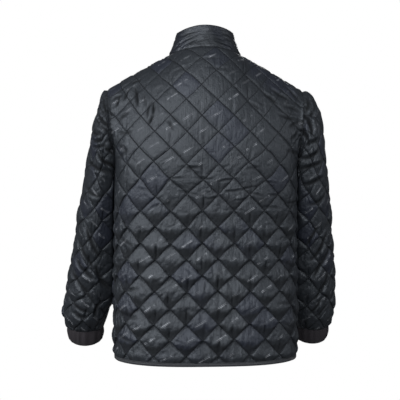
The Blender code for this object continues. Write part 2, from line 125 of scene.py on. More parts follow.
# At the armhole: the way the sleeve runs, the way the body faces, and how far from the seam they share one.
SLEEVE_RUNS = np.array([0.89, 0, -0.455])
BODY_FACES = np.array([0.996, 0, -0.09])
SHARED_WAYS = 0.009
HEAD_RISE = 0.0042  # how far the sleeve's head stands up over its seam

# The small puckers along each kind of seam: how far apart, how deep and how long they are.
PUCKERS = {
    "armhole": (0.013, 0.0014, 0.020),
    "shoulder": (0.024, 0.0012, 0.018),
    "neck": (0.020, 0.0010, 0.016),
    "front neck": (0.018, 0.0012, 0.018),
    "side": (0.022, 0.0014, 0.016),
    "hem": (0.019, 0.0014, 0.018),
    "zip": (0.016, 0.0012, 0.014),
    "sleeve head": (0.014, 0.0018, 0.026),
    "cuff": (0.010, 0.0024, 0.036),
    "sleeve": (0.020, 0.0014, 0.016),
    "collar": (0.012, 0.0013, 0.018),
    "collar end": (0.012, 0.0010, 0.012),
}

# How finely the cloth is laid out: columns of a half panel from the side seam to its centre.
ARMHOLE_SHARE, SHOULDER_SHARE = 0.28, 0.68
ARMHOLE_COLUMNS, SHOULDER_COLUMNS, NECK_COLUMNS = 64, 40, 30
PANEL_ROWS = 284
SLEEVE_COLUMNS, SLEEVE_ROWS = 156, 240
COLLAR_COLUMNS, COLLAR_ROWS = 128, 26
FINE = 80

# Quilting: stitch lines run at 45 degrees both ways, so the diamonds stand on their points.
DIAMOND_WIDTH, DIAMOND_HEIGHT = 0.0725, 0.0722
ROW_GAP = 0.0512
FIRST_POINT = (0.0208, -0.0687)

# A crease: its ends, across the cloth from its middle and up it, its size and its bow.
Crease = namedtuple("Crease", "u0 v0 u1 v1 depth width bow")


def crease_table(*rows):
    """Creases from rows of millimetres."""
    return [Crease(*(value / 1000 for value in row)) for row in rows]


BACK_CREASES = crease_table(
    # Folds that fan out from the armholes, then the small ones at the small of the back, tucks along the
    # sides lower down, and faint ones under the collar.
    (-189, 187, -172, 135, 5.7, 3.6, 2), (-204, 186, -214, 150, 5.1, 3.4, -2),
    (-225, 194, -232, 177, 3.9, 3, 0), (-231, 166, -235, 132, 3.9, 3.4, 2),
    (-177, 212, -204, 198, 4.4, 4.2, 0), (-135, 148, -129, 113, 4.1, 3.2, 3),
    (-129, 116, -141, 90, 3.7, 3.2, 2), (-138, 144, -142, 106, 3.2, 3.2, -3),
    (-96, 103, -81, 75, 2.2, 3.1, 2), (-222, 99, -192, 122, 2.3, 3.6, 2),
    (-221, 74, -176, 77, 2, 3.6, -2), (-219, 45, -186, 28, 2.2, 3.6, 2),
    (-231, 13, -190, 33, 2.2, 3.6, -2), (133, 169, 177, 143, 3, 4.1, 3),
    (161, 187, 220, 154, 3.2, 4.3, -3), (218, 203, 253, 147, 3.5, 4.1, 3),
    (169, 118, 241, 103, 3, 3.6, -2), (193, 139, 244, 124, 2.7, 3.4, 2),
    (195, 86, 235, 101, 2.7, 3.6, 2), (199, 58, 230, 83, 2.7, 3.6, -2),
    (181, 34, 259, 20, 2.2, 3.6, 2), (99, 145, 126, 128, 2, 3.6, -2),
    (-99, -34, -55, -31, 1.3, 2.5, 2), (-29, -28, 10, -32, 1.7, 2.5, -2),
    (16, -39, 61, -34, 1.4, 2.5, 2), (29, -59, 84, -53, 1.6, 2.7, -3),
    (87, -63, 121, -72, 1.7, 2.7, 2), (130, -68, 177, -61, 1.9, 2.9, -3),
    (118, -96, 169, -100, 1.7, 2.7, 3), (-74, -60, -29, -69, 1.3, 2.5, 2),
    (-19, -77, 26, -71, 1.4, 2.5, -2), (42, -99, 84, -106, 1.4, 2.5, 2),
    (120, -32, 156, -41, 1.3, 2.7, -2), (-133, -96, -97, -91, 1.3, 2.5, 2),
    (-165, -50, -132, -56, 1.1, 2.5, -2), (172, -91, 255, -82, 1.7, 2.9, 2),
    (-52, -10, -13, -6, 1.3, 3.1, 2), (77, -9, 120, -2, 1.3, 3.1, -2),
    (-226, -166, -176, -184, 2.2, 3.3, 2), (-231, -221, -179, -205, 2, 3.3, -2),
    (-220, -289, -157, -280, 2.2, 3.5, 2), (-220, -334, -162, -345, 2.4, 3.7, -2),
    (-226, -387, -171, -402, 2.4, 3.7, 2), (219, -153, 164, -169, 2.2, 3.3, 2),
    (230, -242, 166, -219, 2.2, 3.3, -2), (236, -312, 156, -314, 2.2, 3.5, 2),
    (236, -381, 165, -355, 2.4, 3.5, 2), (-31, 246, 35, 254, 1.3, 3.6, 2),
    (-4, 230, 57, 223, 1.3, 3.6, -2), (-87, 215, -42, 231, 1.3, 3.6, 2),
    (-251, 151, -228, 160, 3, 3.4, 2), (-162, 172, -148, 130, 2.5, 2.8, 2),
    (71, -57, 111, -50, 1.4, 2.4, 2), (52, -80, 97, -74, 1.4, 2.4, -2),
    (-71, -6, -19, -11, 1, 2.6, 2),
)
# Across a front is measured from the zip, on either side.
FRONT_CREASES = crease_table(
    (170, 150, 212, 112, 3.6, 4.2, 4), (150, 120, 205, 96, 3, 3.8, -4),
    (176, 86, 226, 80, 3, 3.8, 3), (182, 50, 232, 62, 2.8, 3.6, -3),
    (176, 20, 236, 46, 2.6, 3.6, 3), (160, 196, 196, 160, 3, 4, 3),
    (150, 30, 190, -10, 2.2, 4.4, -5), (22, -28, 80, -40, 2.6, 3.2, 3),
    (130, -12, 64, -30, 2.6, 3.2, -4), (96, -56, 158, -48, 2.8, 3.2, 3),
    (240, -80, 172, -120, 2.8, 4.2, 5), (236, -180, 166, -196, 2.6, 4, -3),
    (232, -286, 168, -270, 2.6, 4, 3), (30, -270, 84, -284, 2.2, 3.8, 3),
    (26, -150, 70, -136, 2, 3.6, -3), (236, -376, 174, -392, 2.6, 4, -3),
    (34, 116, 86, 84, 2, 4.2, 4),
)
# Up a sleeve is measured from the cuff, and across it from the outer line to the back (minus).
SLEEVE_CREASES = {
    1: crease_table(
        # Round the back of the armhole.
        (-98, 556, -117, 497, 5.7, 4.6, 3), (-123, 530, -136, 474, 5.2, 4.4, -3),
        (-154, 474, -86, 487, 4.5, 4, 3), (-168, 443, -82, 465, 4.7, 4.2, -3),
        (-169, 416, -74, 432, 4.5, 4.2, 3), (-47, 590, -95, 556, 4.5, 4.4, 3),
        (-40, 568, -107, 531, 4, 4.2, -3),
        # Across the elbow, and down to the cuff.
        (-146, 376, -66, 397, 3.7, 4.8, 4), (-132, 332, -58, 356, 2.8, 4.8, -4),
        (-60, 262, -121, 190, 4.5, 5.2, 6), (-40, 222, -112, 147, 4.5, 5.2, -6),
        (-62, 172, -110, 87, 4.2, 5, 6), (-91, 279, -129, 226, 3.7, 4.6, -4),
        (-83, 103, -118, 50, 4, 4.6, 5), (-62, 76, -91, 41, 3.7, 4.2, -3),
        # In front of the armhole and over the forearm.
        (60, 560, 112, 520, 4.5, 4.4, 3), (78, 520, 140, 476, 4.7, 4.4, -4),
        (96, 452, 166, 438, 4.2, 4.2, 3), (70, 330, 150, 296, 2.8, 5, 4),
        (44, 262, 124, 206, 3.7, 5, 6), (60, 190, 138, 150, 3.7, 5, -6),
        (30, 120, 100, 62, 3.7, 4.8, 5),
    ),
    -1: crease_table(
        # Round the back of the armhole.
        (-37, 549, -123, 521, 5.7, 4.6, 4), (-29, 528, -133, 503, 5.2, 4.4, -4),
        (-45, 480, -112, 490, 5, 4, 2), (-60, 464, -130, 476, 4.7, 4, -2),
        (-80, 458, -186, 420, 5.5, 4.6, 5), (-119, 470, -190, 438, 4.7, 4.2, -4),
        (-35, 582, -95, 552, 4.5, 4.4, 3), (-7, 564, -105, 538, 4.2, 4.2, -3),
        (-6, 496, -105, 502, 3.7, 4, 3), (-8, 427, -148, 409, 3.7, 4.8, -4),
        (-14, 374, -123, 355, 2.6, 4.8, 4),
        # Down the forearm, as it bends round to the front.
        (-66, 281, -123, 201, 4.5, 5.2, 6), (-34, 239, -110, 161, 4.2, 5.2, -6),
        (-41, 198, -117, 148, 4.5, 5, 5), (-26, 160, -111, 94, 4.2, 5.2, -5),
        (-102, 195, -152, 112, 4, 4.8, 5),
        # Two folds curled round each other above the cuff.
        (-140, 94, -124, 46, 5.7, 4, 12), (-156, 70, -132, 38, 5, 3.6, -10),
        (-47, 88, -106, 62, 4, 4.6, 4), (-58, 60, -98, 45, 3.7, 4.2, 2),
        # In front of the armhole and over the forearm.
        (50, 566, 108, 528, 4.5, 4.4, 3), (70, 512, 136, 484, 4.7, 4.4, -4),
        (90, 446, 160, 446, 4.2, 4.2, 3), (66, 320, 146, 300, 2.8, 5, -4),
        (50, 252, 120, 190, 4, 5, 6), (26, 170, 96, 122, 3.7, 5, -5),
        (52, 108, 120, 60, 3.7, 4.8, 5),
    ),
}
COLLAR_CREASES = crease_table(
    (-100, 2, -30, 26, 1.6, 2.2, 5), (-75, 0, -10, 20, 1.5, 1.8, 4),
    (-60, 24, 30, 31, 1.4, 2.2, 3), (-35, 10, 50, 22, 1.5, 2, 4),
    (105, 4, 40, 27, 1.6, 2.2, -5), (85, 1, 15, 13, 1.3, 1.8, -3),
    (-120, 20, -75, 34, 1.3, 2.2, 3), (125, 22, 75, 34, 1.3, 2.2, -3),
    (150, 4, 185, 26, 1.2, 2.2, 3), (-150, 4, -190, 28, 1.2, 2.2, -3),
)


def linear(hex_colour):
    """An sRGB hex colour as linear red, green and blue."""
    values = [int(hex_colour[k : k + 2], 16) / 255 for k in (0, 2, 4)]
    return tuple(v / 12.92 if v <= 0.04045 else ((v + 0.055) / 1.055) ** 2.4 for v in values)


def length_setting(name, description, default, **limits):
    return FloatProperty(name=name, description=description, default=default, unit="LENGTH", **limits)


def power_setting(name, description, default):
    return FloatProperty(name=name, description=f"{description}, in watts", default=default, min=0)


def colour_setting(name, description, hex_colour):
    return FloatVectorProperty(
        name=name, description=description, default=linear(hex_colour), min=0, max=1, size=3, subtype="COLOR"
    )


class JacketQuilt(bpy.types.PropertyGroup):
    """How the padding stands between the stitch lines."""

    low_puff: length_setting("Low puffs", "Height of the puffs below the waist", 0.0100, min=0.001, max=0.014)
    high_puff: length_setting("High puffs", "Height of puffs at the shoulders", 0.0034, min=0.001, max=0.012)
    sag: FloatProperty(
        name="Sag", description="Where a low puff stands out most, as a share of its way up",
        default=0.43, min=0.2, max=0.5, subtype="FACTOR",
    )
    crumple: length_setting("Crumple", "Depth of the wrinkles inside a diamond", 0.0017, min=0.0, max=0.003)
    seed: IntProperty(name="Seed", description="Which random wrinkles are drawn", default=7, min=0)


class JacketColours(bpy.types.PropertyGroup):
    """Colours of the cloths and the zip."""

    nylon: colour_setting("Nylon", "Face of the quilted cloth", "24272b")
    nylon_blue: colour_setting("Nylon, bluer", "Diamonds where the cloth's finish turns blue", "23262f")
    dashes: colour_setting("Printed dashes", "Slanted dashes printed on the cloth", "9a9ca1")
    thread: colour_setting("Thread", "Quilting thread", "18191c")
    lining: colour_setting("Lining", "Inside face of the quilted cloth", "1c1d20")
    knit: colour_setting("Rib knit", "Cuffs", "3a3739")
    binding: colour_setting("Binding", "Bound hem", "2c2e33")
    tape: colour_setting("Zip tape", "Woven tape of the zip", "151619")
    teeth: colour_setting("Zip teeth", "Moulded teeth of the zip", "17171a")
    metal: colour_setting("Zip metal", "Slider and pull tab", "6d6e72")


class JacketStage(bpy.types.PropertyGroup):
    """Floor, lights and camera."""

    floor: length_setting("Floor", "Height of the floor, where a wearer would stand", -1.45)
    key: power_setting("Key light", "Power of the large light", 238.0)
    top: power_setting("Top light", "Power of the light overhead", 14.0)
    fill: power_setting("Fill light", "Power of the fill light", 92.0)
    front: power_setting("Front light", "Power of the light in front", 34.0)
    turn: FloatProperty(
        name="Camera turn", description="Camera's direction round the jacket, from straight behind",
        default=math.radians(-4), subtype="ANGLE",
    )
    distance: length_setting("Camera distance", "From the camera to the jacket's upright axis", 2.4, min=1)
    height: length_setting("Camera height", "Height of the level camera", -0.341)
    aside: length_setting("Camera aside", "How far left of the jacket's axis the camera aims", 0.0116)
    view_width: length_setting("View width", "Width of the view at the jacket's axis", 0.948)


# ---------------------------------------------------------------- form


def unit(vectors):
    return vectors / np.maximum(np.linalg.norm(vectors, axis=-1, keepdims=True), 1e-12)


def smooth(t):
    t = np.clip(t, 0, 1)
    return t * t * (3 - 2 * t)


def curve_through(where, places, values):
    """A Catmull-Rom curve through values at ascending places, read at each point of where."""
    places, values = np.asarray(places, float), np.asarray(values, float)
    where = np.clip(where, places[0], places[-1])
    k = np.clip(np.searchsorted(places, where, side="right") - 1, 0, len(places) - 2)
    before, after = values[np.maximum(k - 1, 0)], values[np.minimum(k + 2, len(values) - 1)]
    start, end = values[k], values[k + 1]
    t = (where - places[k]) / (places[k + 1] - places[k])
    return (
        start * (2 * t**3 - 3 * t**2 + 1)
        + (end - before) / 2 * (t**3 - 2 * t**2 + t)
        + end * (3 * t**2 - 2 * t**3)
        + (after - start) / 2 * (t**3 - t**2)
    )


def table_curve(where, rows, column):
    return curve_through(where, [row[0] for row in rows], [getattr(row, column) for row in rows])


def signed_power(values, exponent):
    return np.copysign(np.abs(values) ** exponent, values)


def torso_points(turns, heights):
    """Points of the torso below the underarm. Turn is 0 at the right side seam and 90 degrees in front."""
    turns, heights = np.broadcast_arrays(turns, heights)
    front, back = (table_curve(heights, TORSO, name) for name in ("front_depth", "back_depth"))
    across = table_curve(heights, TORSO, "half_width") * signed_power(np.cos(turns), SQUARENESS)
    return np.stack(
        [across, np.where(turns > 0, front, back) * signed_power(np.sin(turns), SQUARENESS), heights],
        axis=-1,
    )


def arc_lengths(points):
    return np.concatenate([[0], np.cumsum(np.linalg.norm(np.diff(points, axis=0), axis=1))])


def chest_turns(side, shares):
    """Turns at shares of the half chest from the side seam to the centre, and the half chest's length."""
    last = math.pi / 2
    if side > 0:
        last = math.acos((ZIP_EDGE / TORSO[-1].half_width) ** (1 / SQUARENESS))
    turns = np.linspace(0, last, 40 * FINE) * side
    lengths = arc_lengths(torso_points(turns, UNDERARM))
    return np.interp(np.asarray(shares) * lengths[-1], lengths, turns), lengths[-1]


def ring_points(ring, angles, left=0.0):
    """Points of a sleeve ring on the right: angle 0 is its outer point, 90 degrees its front."""
    outer = np.stack([ring.outer_x + left * ring.left_outer, ring.centre_y, ring.outer_z], axis=-1)
    inner = np.stack([ring.inner_x + left * ring.left_inner, ring.centre_y, ring.inner_z], axis=-1)
    along = np.stack([np.zeros_like(ring.centre_y), ring.half_depth, ring.half_depth * ring.tilt], axis=-1)
    angles = np.asarray(angles)[:, None]
    outer, inner, along = outer[..., None, :], inner[..., None, :], along[..., None, :]
    return (outer + inner) / 2 + (outer - inner) / 2 * np.cos(angles) + along * np.sin(angles)


def neck_points(turns):
    """Points of the neck seam: turn is 0 at centre back, 90 degrees at the shoulder."""
    across, back = np.sin(turns), np.cos(turns)
    depth = np.where(back > 0, NECK_BACK, NECK_FRONT)
    rise = np.where(back > 0, NECK_RISE, -NECK_DROP)
    return np.stack([NECK_HALF_WIDTH * across, -depth * back, rise * back * back], axis=-1)


def neck_turns(side, columns):
    last = 0 if side < 0 else math.pi - math.asin(ZIP_EDGE / NECK_HALF_WIDTH)
    return np.linspace(math.pi / 2, last, columns + 1)


def upward(leans, side, spread=0.0):
    """The way a panel runs at its top edge: lean is 0 upright and 90 degrees lying over the shoulder."""
    leans = np.asarray(leans)
    return np.stack([spread * np.cos(leans), -side * np.sin(leans), np.cos(leans)], axis=-1)


def top_edge(side):
    """The top of the right half panel, from underarm to centre: its points, and the ways it runs there."""
    armhole = SLEEVE[0]
    spread = (armhole.outer_x - armhole.inner_x) / (armhole.outer_z - armhole.inner_z)
    angles = np.linspace(math.pi, 0, ARMHOLE_COLUMNS + 1) * side
    edge = ring_points(armhole, angles)
    ways = upward(math.pi / 2 * ((1 + np.cos(angles)) / 2) ** 2, side, spread)
    neck = neck_points(np.array([math.pi / 2]))
    over = np.linspace(0, 1, SHOULDER_COLUMNS + 1)[1:, None]
    turns = neck_turns(side, NECK_COLUMNS)[1:]
    points = [edge, edge[-1:] + (neck - edge[-1:]) * over, neck_points(turns)]
    lying = upward(np.full(SHOULDER_COLUMNS, math.pi / 2), side)
    rising = upward(np.radians(90 - 45 * np.abs(np.cos(turns))), side)
    return np.concatenate(points), np.concatenate([ways, lying, rising])


def armhole_ways(angles):
    """The ways that body and sleeve both face where they are sewn together, half way between their own."""
    ring = ring_points(SLEEVE[0], np.stack([angles - 1e-3, angles + 1e-3]).ravel())
    around = ring[len(angles) :] - ring[: len(angles)]
    return unit(unit(np.cross(SLEEVE_RUNS, around)) + BODY_FACES)


def turned_at(points, normals, seam, ways):
    """The normals, turned to the given ways close to a seam."""
    distance, along, _ = from_seam(points, seam)
    places = arc_lengths(seam)
    shared = np.stack([np.interp(along, places, ways[:, k]) for k in range(3)], axis=-1)
    share = smooth(1 - distance / SHARED_WAYS)[..., None]
    return unit(normals * (1 - share) + shared * share)


def column_shares():
    return np.concatenate(
        [
            np.linspace(0, ARMHOLE_SHARE, ARMHOLE_COLUMNS + 1),
            np.linspace(ARMHOLE_SHARE, SHOULDER_SHARE, SHOULDER_COLUMNS + 1)[1:],
            np.linspace(SHOULDER_SHARE, 1, NECK_COLUMNS + 1)[1:],
        ]
    )


def hem_heights(turns):
    return HEM - BACK_DROP * np.maximum(0, -np.sin(turns)) ** 2


def half_panel(side):
    """The right half of the back (side -1) or the front (side 1): its points and cloth coordinates.

    Cloth coordinates are metres across from the centre and up from the underarm. They follow each
    column of the cloth over the shoulder as the cloth lies, so that the quilting isn't stretched.
    """
    turns, half_chest = chest_turns(side, column_shares())
    tops, ways = top_edge(side)
    # Rows lie closer at the small of the back, where the folds are small, and a little closer above.
    share = np.linspace(0, 1, 400)
    count = np.cumsum(1 + 0.8 * np.exp(-(((share - 0.56) / 0.09) ** 2)) + 0.35 * share)
    rows = np.interp(np.linspace(count[0], count[-1], PANEL_ROWS + 1), count, share)
    bottoms = hem_heights(turns) + BINDING_HEIGHT - 0.0025  # inside the binding
    steps = np.linspace(0, 1, FINE)[:, None]
    below = torso_points(turns, bottoms + (UNDERARM - bottoms) * steps)
    chords = np.linalg.norm(tops - below[-1], axis=1)[:, None]
    t = steps[1:, :, None]
    above = (
        below[-1] * (2 * t**3 - 3 * t**2 + 1)
        + np.array([0, 0, 1]) * chords * (t**3 - 2 * t**2 + t)
        + tops * (3 * t**2 - 2 * t**3)
        + ways * chords * (t**3 - t**2)
    )
    fine = np.concatenate([below, above])
    points = np.empty((PANEL_ROWS + 1, len(turns), 3))
    for column in range(len(turns)):
        lengths = arc_lengths(fine[:, column])
        for axis in range(3):
            points[:, column, axis] = np.interp(rows * lengths[-1], lengths, fine[:, column, axis])
    # Columns crowd at the shoulder's tip, so the cloth there is drawn smooth between its edges.
    patch = points[-60:, ARMHOLE_COLUMNS - 30 : ARMHOLE_COLUMNS + 2]
    for _ in range(80):
        patch[1:-1, 1:-1] = (patch[2:, 1:-1] + patch[:-2, 1:-1] + patch[1:-1, 2:] + patch[1:-1, :-2]) / 4
    normals = grid_normals(points, np.array([0, 0, -0.30]))
    # The way it faces there comes from either side of it, over the upper rows.
    tip = slice(ARMHOLE_COLUMNS - 14, ARMHOLE_COLUMNS + 2)
    t = np.linspace(0, 1, tip.stop - tip.start)[:, None]
    eased = unit(normals[:, tip][:, :1] * (1 - t) + normals[:, tip][:, -1:] * t)
    share = smooth((np.arange(PANEL_ROWS + 1) - PANEL_ROWS + 90) / 30)[:, None, None]
    normals[:, tip] = unit(normals[:, tip] * (1 - share) + eased * share)
    ahead, behind = torso_points(turns + 1e-4, UNDERARM), torso_points(turns - 1e-4, UNDERARM)
    across = unit(ahead - behind) * -side  # from the centre to the side seam
    across = unit(across - (across * normals).sum(axis=-1, keepdims=True) * normals)
    up = np.cross(normals, across)
    up *= np.sign(up[:, :, 2:].mean())
    moves = np.diff(points, axis=0)
    u = half_chest * (1 - column_shares()) + np.zeros((PANEL_ROWS + 1, 1))
    v = np.zeros(u.shape)
    u[1:] += np.cumsum((moves * (across[1:] + across[:-1]) / 2).sum(axis=-1), axis=0)
    v[1:] += np.cumsum((moves * (up[1:] + up[:-1]) / 2).sum(axis=-1), axis=0)
    for column in range(len(turns)):
        climbed = np.maximum.accumulate(points[:, column, 2])
        v[:, column] -= np.interp(UNDERARM, climbed, v[:, column])
    return points, normals, u, v


def grid_normals(grid, away_from, ring=False):
    if ring:
        around = np.roll(grid, -1, axis=1) - np.roll(grid, 1, axis=1)
    else:
        around = np.gradient(grid, axis=1)
    normals = unit(np.cross(around, np.gradient(grid, axis=0)))
    outward = ((grid - away_from) * normals).sum(axis=-1, keepdims=True)
    return normals * np.where(outward < 0, -1, 1)


# ---------------------------------------------------------------- padding, creases and seams


def noise(x, y, seed):
    """Smooth random heights between -1 and 1, a new one for each unit of x and y."""
    table = np.random.default_rng(seed).uniform(-1, 1, (64, 64))
    column, row = np.floor(x).astype(int), np.floor(y).astype(int)
    right, top = smooth(x - column), smooth(y - row)
    low = table[row % 64, column % 64] * (1 - right) + table[row % 64, (column + 1) % 64] * right
    row = row + 1
    high = table[row % 64, column % 64] * (1 - right) + table[row % 64, (column + 1) % 64] * right
    return low * (1 - top) + high * top


def lattice(u, v):
    """Rows of stitching either side of each point: both numbers are whole on a stitch line."""
    across, up = (u - FIRST_POINT[0]) / DIAMOND_WIDTH, (v - FIRST_POINT[1]) / DIAMOND_HEIGHT
    return across + up, across - up


def wandering(u, v, seed, reach=0.0022):
    """Cloth coordinates as a hand-guided needle leaves them, and as small folds at the waist shift them."""
    reach = reach * (1 + 1.3 * np.exp(-(((v + 0.04) / 0.05) ** 2)))
    return (
        u + reach * noise(u / 0.07, v / 0.07, seed) + reach / 2 * noise(u / 0.03, v / 0.03, seed + 1),
        v + reach * noise(u / 0.07, v / 0.07, seed + 2) + reach / 2 * noise(u / 0.03, v / 0.03, seed + 3),
    )


def puff_height(low_a, low_b, peak, lowness):
    """Height of a diamond's padding, from 0 along its stitch lines to 1.

    Both shares run up from the diamond's lowest point. Where the cloth lies flat, so does the padding.
    Where it sags, the padding slopes out to a level fold, a share of the way up, and turns under it.
    """
    high = np.sqrt(np.clip((1 - low_a) * (1 - low_b), 0, 1))
    low = np.sqrt(np.clip(low_a * low_b, 0, 1))
    near_a, near_b = (np.minimum(low_side, 1 - low_side) for low_side in (low_a, low_b))
    # Lines that fall to the right are drawn tighter than those that rise.
    flat = (1 - np.exp(-near_a / 0.06)) * (1 - 0.8 * np.exp(-near_b / 0.06))
    slope = (2 - low_a - low_b) / 2 / (1 - peak)
    under = (low_a + low_b) / 2 / peak
    sagging = 1 / (slope**-8 + under**-8 + (high * 4.6) ** -8 + (low * 4.4) ** -8 + 1) ** 0.125
    return flat + (sagging - flat) * lowness


def quilted(a, b, height, lowness, quilt, seed):
    """Height of padded cloth over its stitch lines. Lowness is 0 where it lies flat, 1 where it sags."""
    row, column = np.floor(a).astype(int), np.floor(b).astype(int)
    dice = np.random.default_rng(quilt.seed + seed).random((4, 64, 64))[:, row % 64, column % 64]
    low_a = np.clip(a - row, 1e-3, 0.999)
    low_b = np.clip(1 - (b - column), 1e-3, 0.999)
    peak = 0.5 + (quilt.sag - 0.5) * lowness + 0.14 * (dice[0] - 0.5)
    across, up = low_a - low_b, low_a + low_b - 1
    # The fold wavers, more so low down.
    waver = 0.06 * (0.4 + lowness) * noise(across * 6 + 40 * dice[1], up * 1.5 + 40 * dice[2], seed + 10)
    puff = puff_height(low_a, low_b, np.clip(peak + waver, 0.2, 0.8), lowness)
    # Small wrinkles, steep-sided and mostly upright.
    wrinkles = np.zeros(a.shape)
    for k, (stretch, size) in enumerate(((3.4, 1.0), (5.6, 0.7))):
        turn = (dice[1 + k] - 0.5) * (1.1 + k)
        x = across * np.cos(turn) + up * np.sin(turn)
        y = up * np.cos(turn) - across * np.sin(turn)
        line = noise(x * stretch + 60 * dice[2 - k], y * 1.2 + 60 * dice[3 - k], seed + 11 + k)
        wrinkles += size * (1 - np.abs(line)) ** 7
    edges = np.clip(puff * 1.6, 0, 1)
    # A pinch that runs up from the diamond's lowest point.
    bend = across - 0.25 * (dice[1] - 0.5) - 0.15 * (dice[2] - 0.5) * (up + 1)
    pinch = np.exp(-((bend / 0.06) ** 2)) * smooth((0.15 - up) / 0.5) * (dice[3] > 0.45)
    depth = quilt.crumple * (0.55 + 0.60 * lowness)
    size = 0.78 + 0.44 * dice[2]
    return height * (puff * size - 0.5) - depth * edges * (wrinkles - 0.3) - 2.6 * depth * pinch * edges


def creased(u, v, creases):
    """Depth of the listed creases: each a soft trough with a ridge along one side."""
    total = np.zeros(u.shape)
    for crease in creases:
        du, dv = crease.u1 - crease.u0, crease.v1 - crease.v0
        length = math.hypot(du, dv)
        along = ((u - crease.u0) * du + (v - crease.v0) * dv) / length**2
        beside = ((v - crease.v0) * du - (u - crease.u0) * dv) / length
        beside = beside - crease.bow * 4 * along * (1 - along)
        inside = (along > 0) & (along < 1) & (np.abs(beside) < 6 * crease.width)
        t, s = along[inside], beside[inside] / crease.width
        taper = np.sin(math.pi * t) ** 0.7
        total[inside] -= crease.depth * taper * np.exp(-(s**2))
        total[inside] += 0.55 * crease.depth * taper * np.exp(-(((s - 1.9) / 1.3) ** 2))
    return total


def from_seam(points, seam):
    """Distance of each point from a seam, and how far along it the nearest place is."""
    flat = points.reshape(-1, 3)
    nearest, along = np.full(len(flat), 1e9), np.zeros(len(flat))
    lengths = arc_lengths(seam)
    for start, end, before in zip(seam[:-1], seam[1:], lengths):
        way = end - start
        size = way @ way
        if size < 1e-12:
            continue
        t = np.clip((flat - start) @ way / size, 0, 1)
        distance = np.linalg.norm(flat - start - t[:, None] * way, axis=1)
        closer = distance < nearest
        nearest[closer] = distance[closer]
        along[closer] = before + t[closer] * math.sqrt(size)
    return nearest.reshape(points.shape[:2]), along.reshape(points.shape[:2]), lengths[-1]


def puckered(distance, along, length, spacing, depth, reach, seed, dip=0.0011):
    """Creases that run from a seam into the cloth, uneven in spacing, depth and length."""
    dice = np.random.default_rng(seed)
    total = -dip * np.exp(-((distance / 0.0035) ** 2))
    near = distance < 1.6 * reach
    e, s = distance[near], along[near]
    sums = np.zeros(len(e))
    place = spacing * dice.random()
    while place < length:
        width = spacing * (0.16 + 0.14 * dice.random())
        long = reach * (0.35 + 0.65 * dice.random() ** 2)
        lean = 0.5 * (dice.random() - 0.5)
        deep = depth * (0.35 + 0.65 * dice.random())
        offset = (s - place - lean * e) / width
        fade = np.exp(-((e / long) ** 2)) * smooth(e / 0.002)
        sums += deep * fade * (0.6 * np.exp(-(((offset - 2) / 1.2) ** 2)) - np.exp(-(offset**2)))
        place += spacing * (0.5 + dice.random())
    total[near] += sums
    return total


def kept_clear(height, close):
    """The height, brought softly under 0.3 mm where body and sleeve lie close, and under 8.3 mm elsewhere."""
    cap = 0.0003 + 0.0080 * (1 - close)
    return np.where(height > cap, cap + 0.08 * (height - cap), height)


# ---------------------------------------------------------------- meshes


def finish_mesh(name, points, faces, corner_uvs, materials, material_of_face, body):
    mesh = bpy.data.meshes.new(name)
    mesh.from_pydata(points.tolist(), [], faces)
    layer = mesh.uv_layers.new(name="cloth")
    layer.data.foreach_set("uv", np.asarray(corner_uvs, np.float32).ravel())
    for material in materials:
        mesh.materials.append(material)
    mesh.polygons.foreach_set("material_index", np.asarray(material_of_face, np.int32))
    mesh.shade_smooth()
    mesh.set_sharp_from_angle(angle=math.radians(62))
    mesh.update()
    obj = bpy.data.objects.new(name, mesh)
    bpy.context.scene.collection.objects.link(obj)
    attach(obj, body)
    return obj


def quad_corners(rows, columns):
    """The rows and columns of the four corners of each face of a grid."""
    r, c = (index.ravel() for index in np.meshgrid(np.arange(rows), np.arange(columns), indexing="ij"))
    return (r, c), (r, c + 1), (r + 1, c + 1), (r + 1, c)


def shell(name, outer, inner, uvs, materials, outward, folds, ring=False):
    """A closed wall: an outer grid, an inner grid of every second point, and a rim that joins them.

    The grid of uvs has one more column than a ring's points, for the seam where the ring closes.
    Folds are heights, from which the mesh keeps how deep in a fold each point lies; the material paints shade
    by that depth, darkening the cloth's colour.
    """
    rows, columns = outer.shape[:2]
    few_columns = inner.shape[1]
    faces, corners, kinds = [], [], []
    grids = ((outer, uvs, 0, columns), (inner, uvs[::2, ::2], rows * columns, few_columns))
    for kind, (grid, grid_uvs, first, width) in enumerate(grids):
        quad = quad_corners(grid.shape[0] - 1, width if ring else width - 1)
        index = np.stack([first + i * width + j % width for i, j in quad], axis=1)
        places = np.stack([grid_uvs[i, j] for i, j in quad], axis=1)
        if (kind == 0) != outward:
            index, places = index[:, ::-1], places[:, ::-1]
        faces += index.tolist()
        corners.append(places.reshape(-1, 2))
        kinds += [kind] * len(index)
    first = rows * columns
    across, up = range(columns + 1 if ring else columns), range(rows)
    borders = [([(0, c) for c in across], False), ([(rows - 1, c) for c in across], True)]
    if not ring:
        borders += [([(r, 0) for r in up], True), ([(r, columns - 1) for r in up], False)]
    for many, turned in borders:
        for k in range(0, len(many) - 2, 2):
            three = many[k : k + 3]
            two = [three[2], three[0]]
            face = [i * columns + j % columns for i, j in three]
            face += [first + i // 2 * few_columns + (j // 2) % few_columns for i, j in two]
            places = [uvs[i, j] for i, j in three + two]
            if turned == outward:
                face, places = face[::-1], places[::-1]
            faces.append(face)
            corners.append(np.array(places))
            kinds.append(1)
    points = np.concatenate([outer.reshape(-1, 3), inner.reshape(-1, 3)])
    piece = finish_mesh(
        name, points, faces, np.concatenate(corners), materials, kinds, "garment"
    )
    depths = np.zeros(len(points), np.float32)
    depths[: folds.size] = np.clip(-folds.ravel() / 0.0026, 0, 1)
    piece.data.attributes.new("fold", "FLOAT", "POINT").data.foreach_set("value", depths)
    return piece


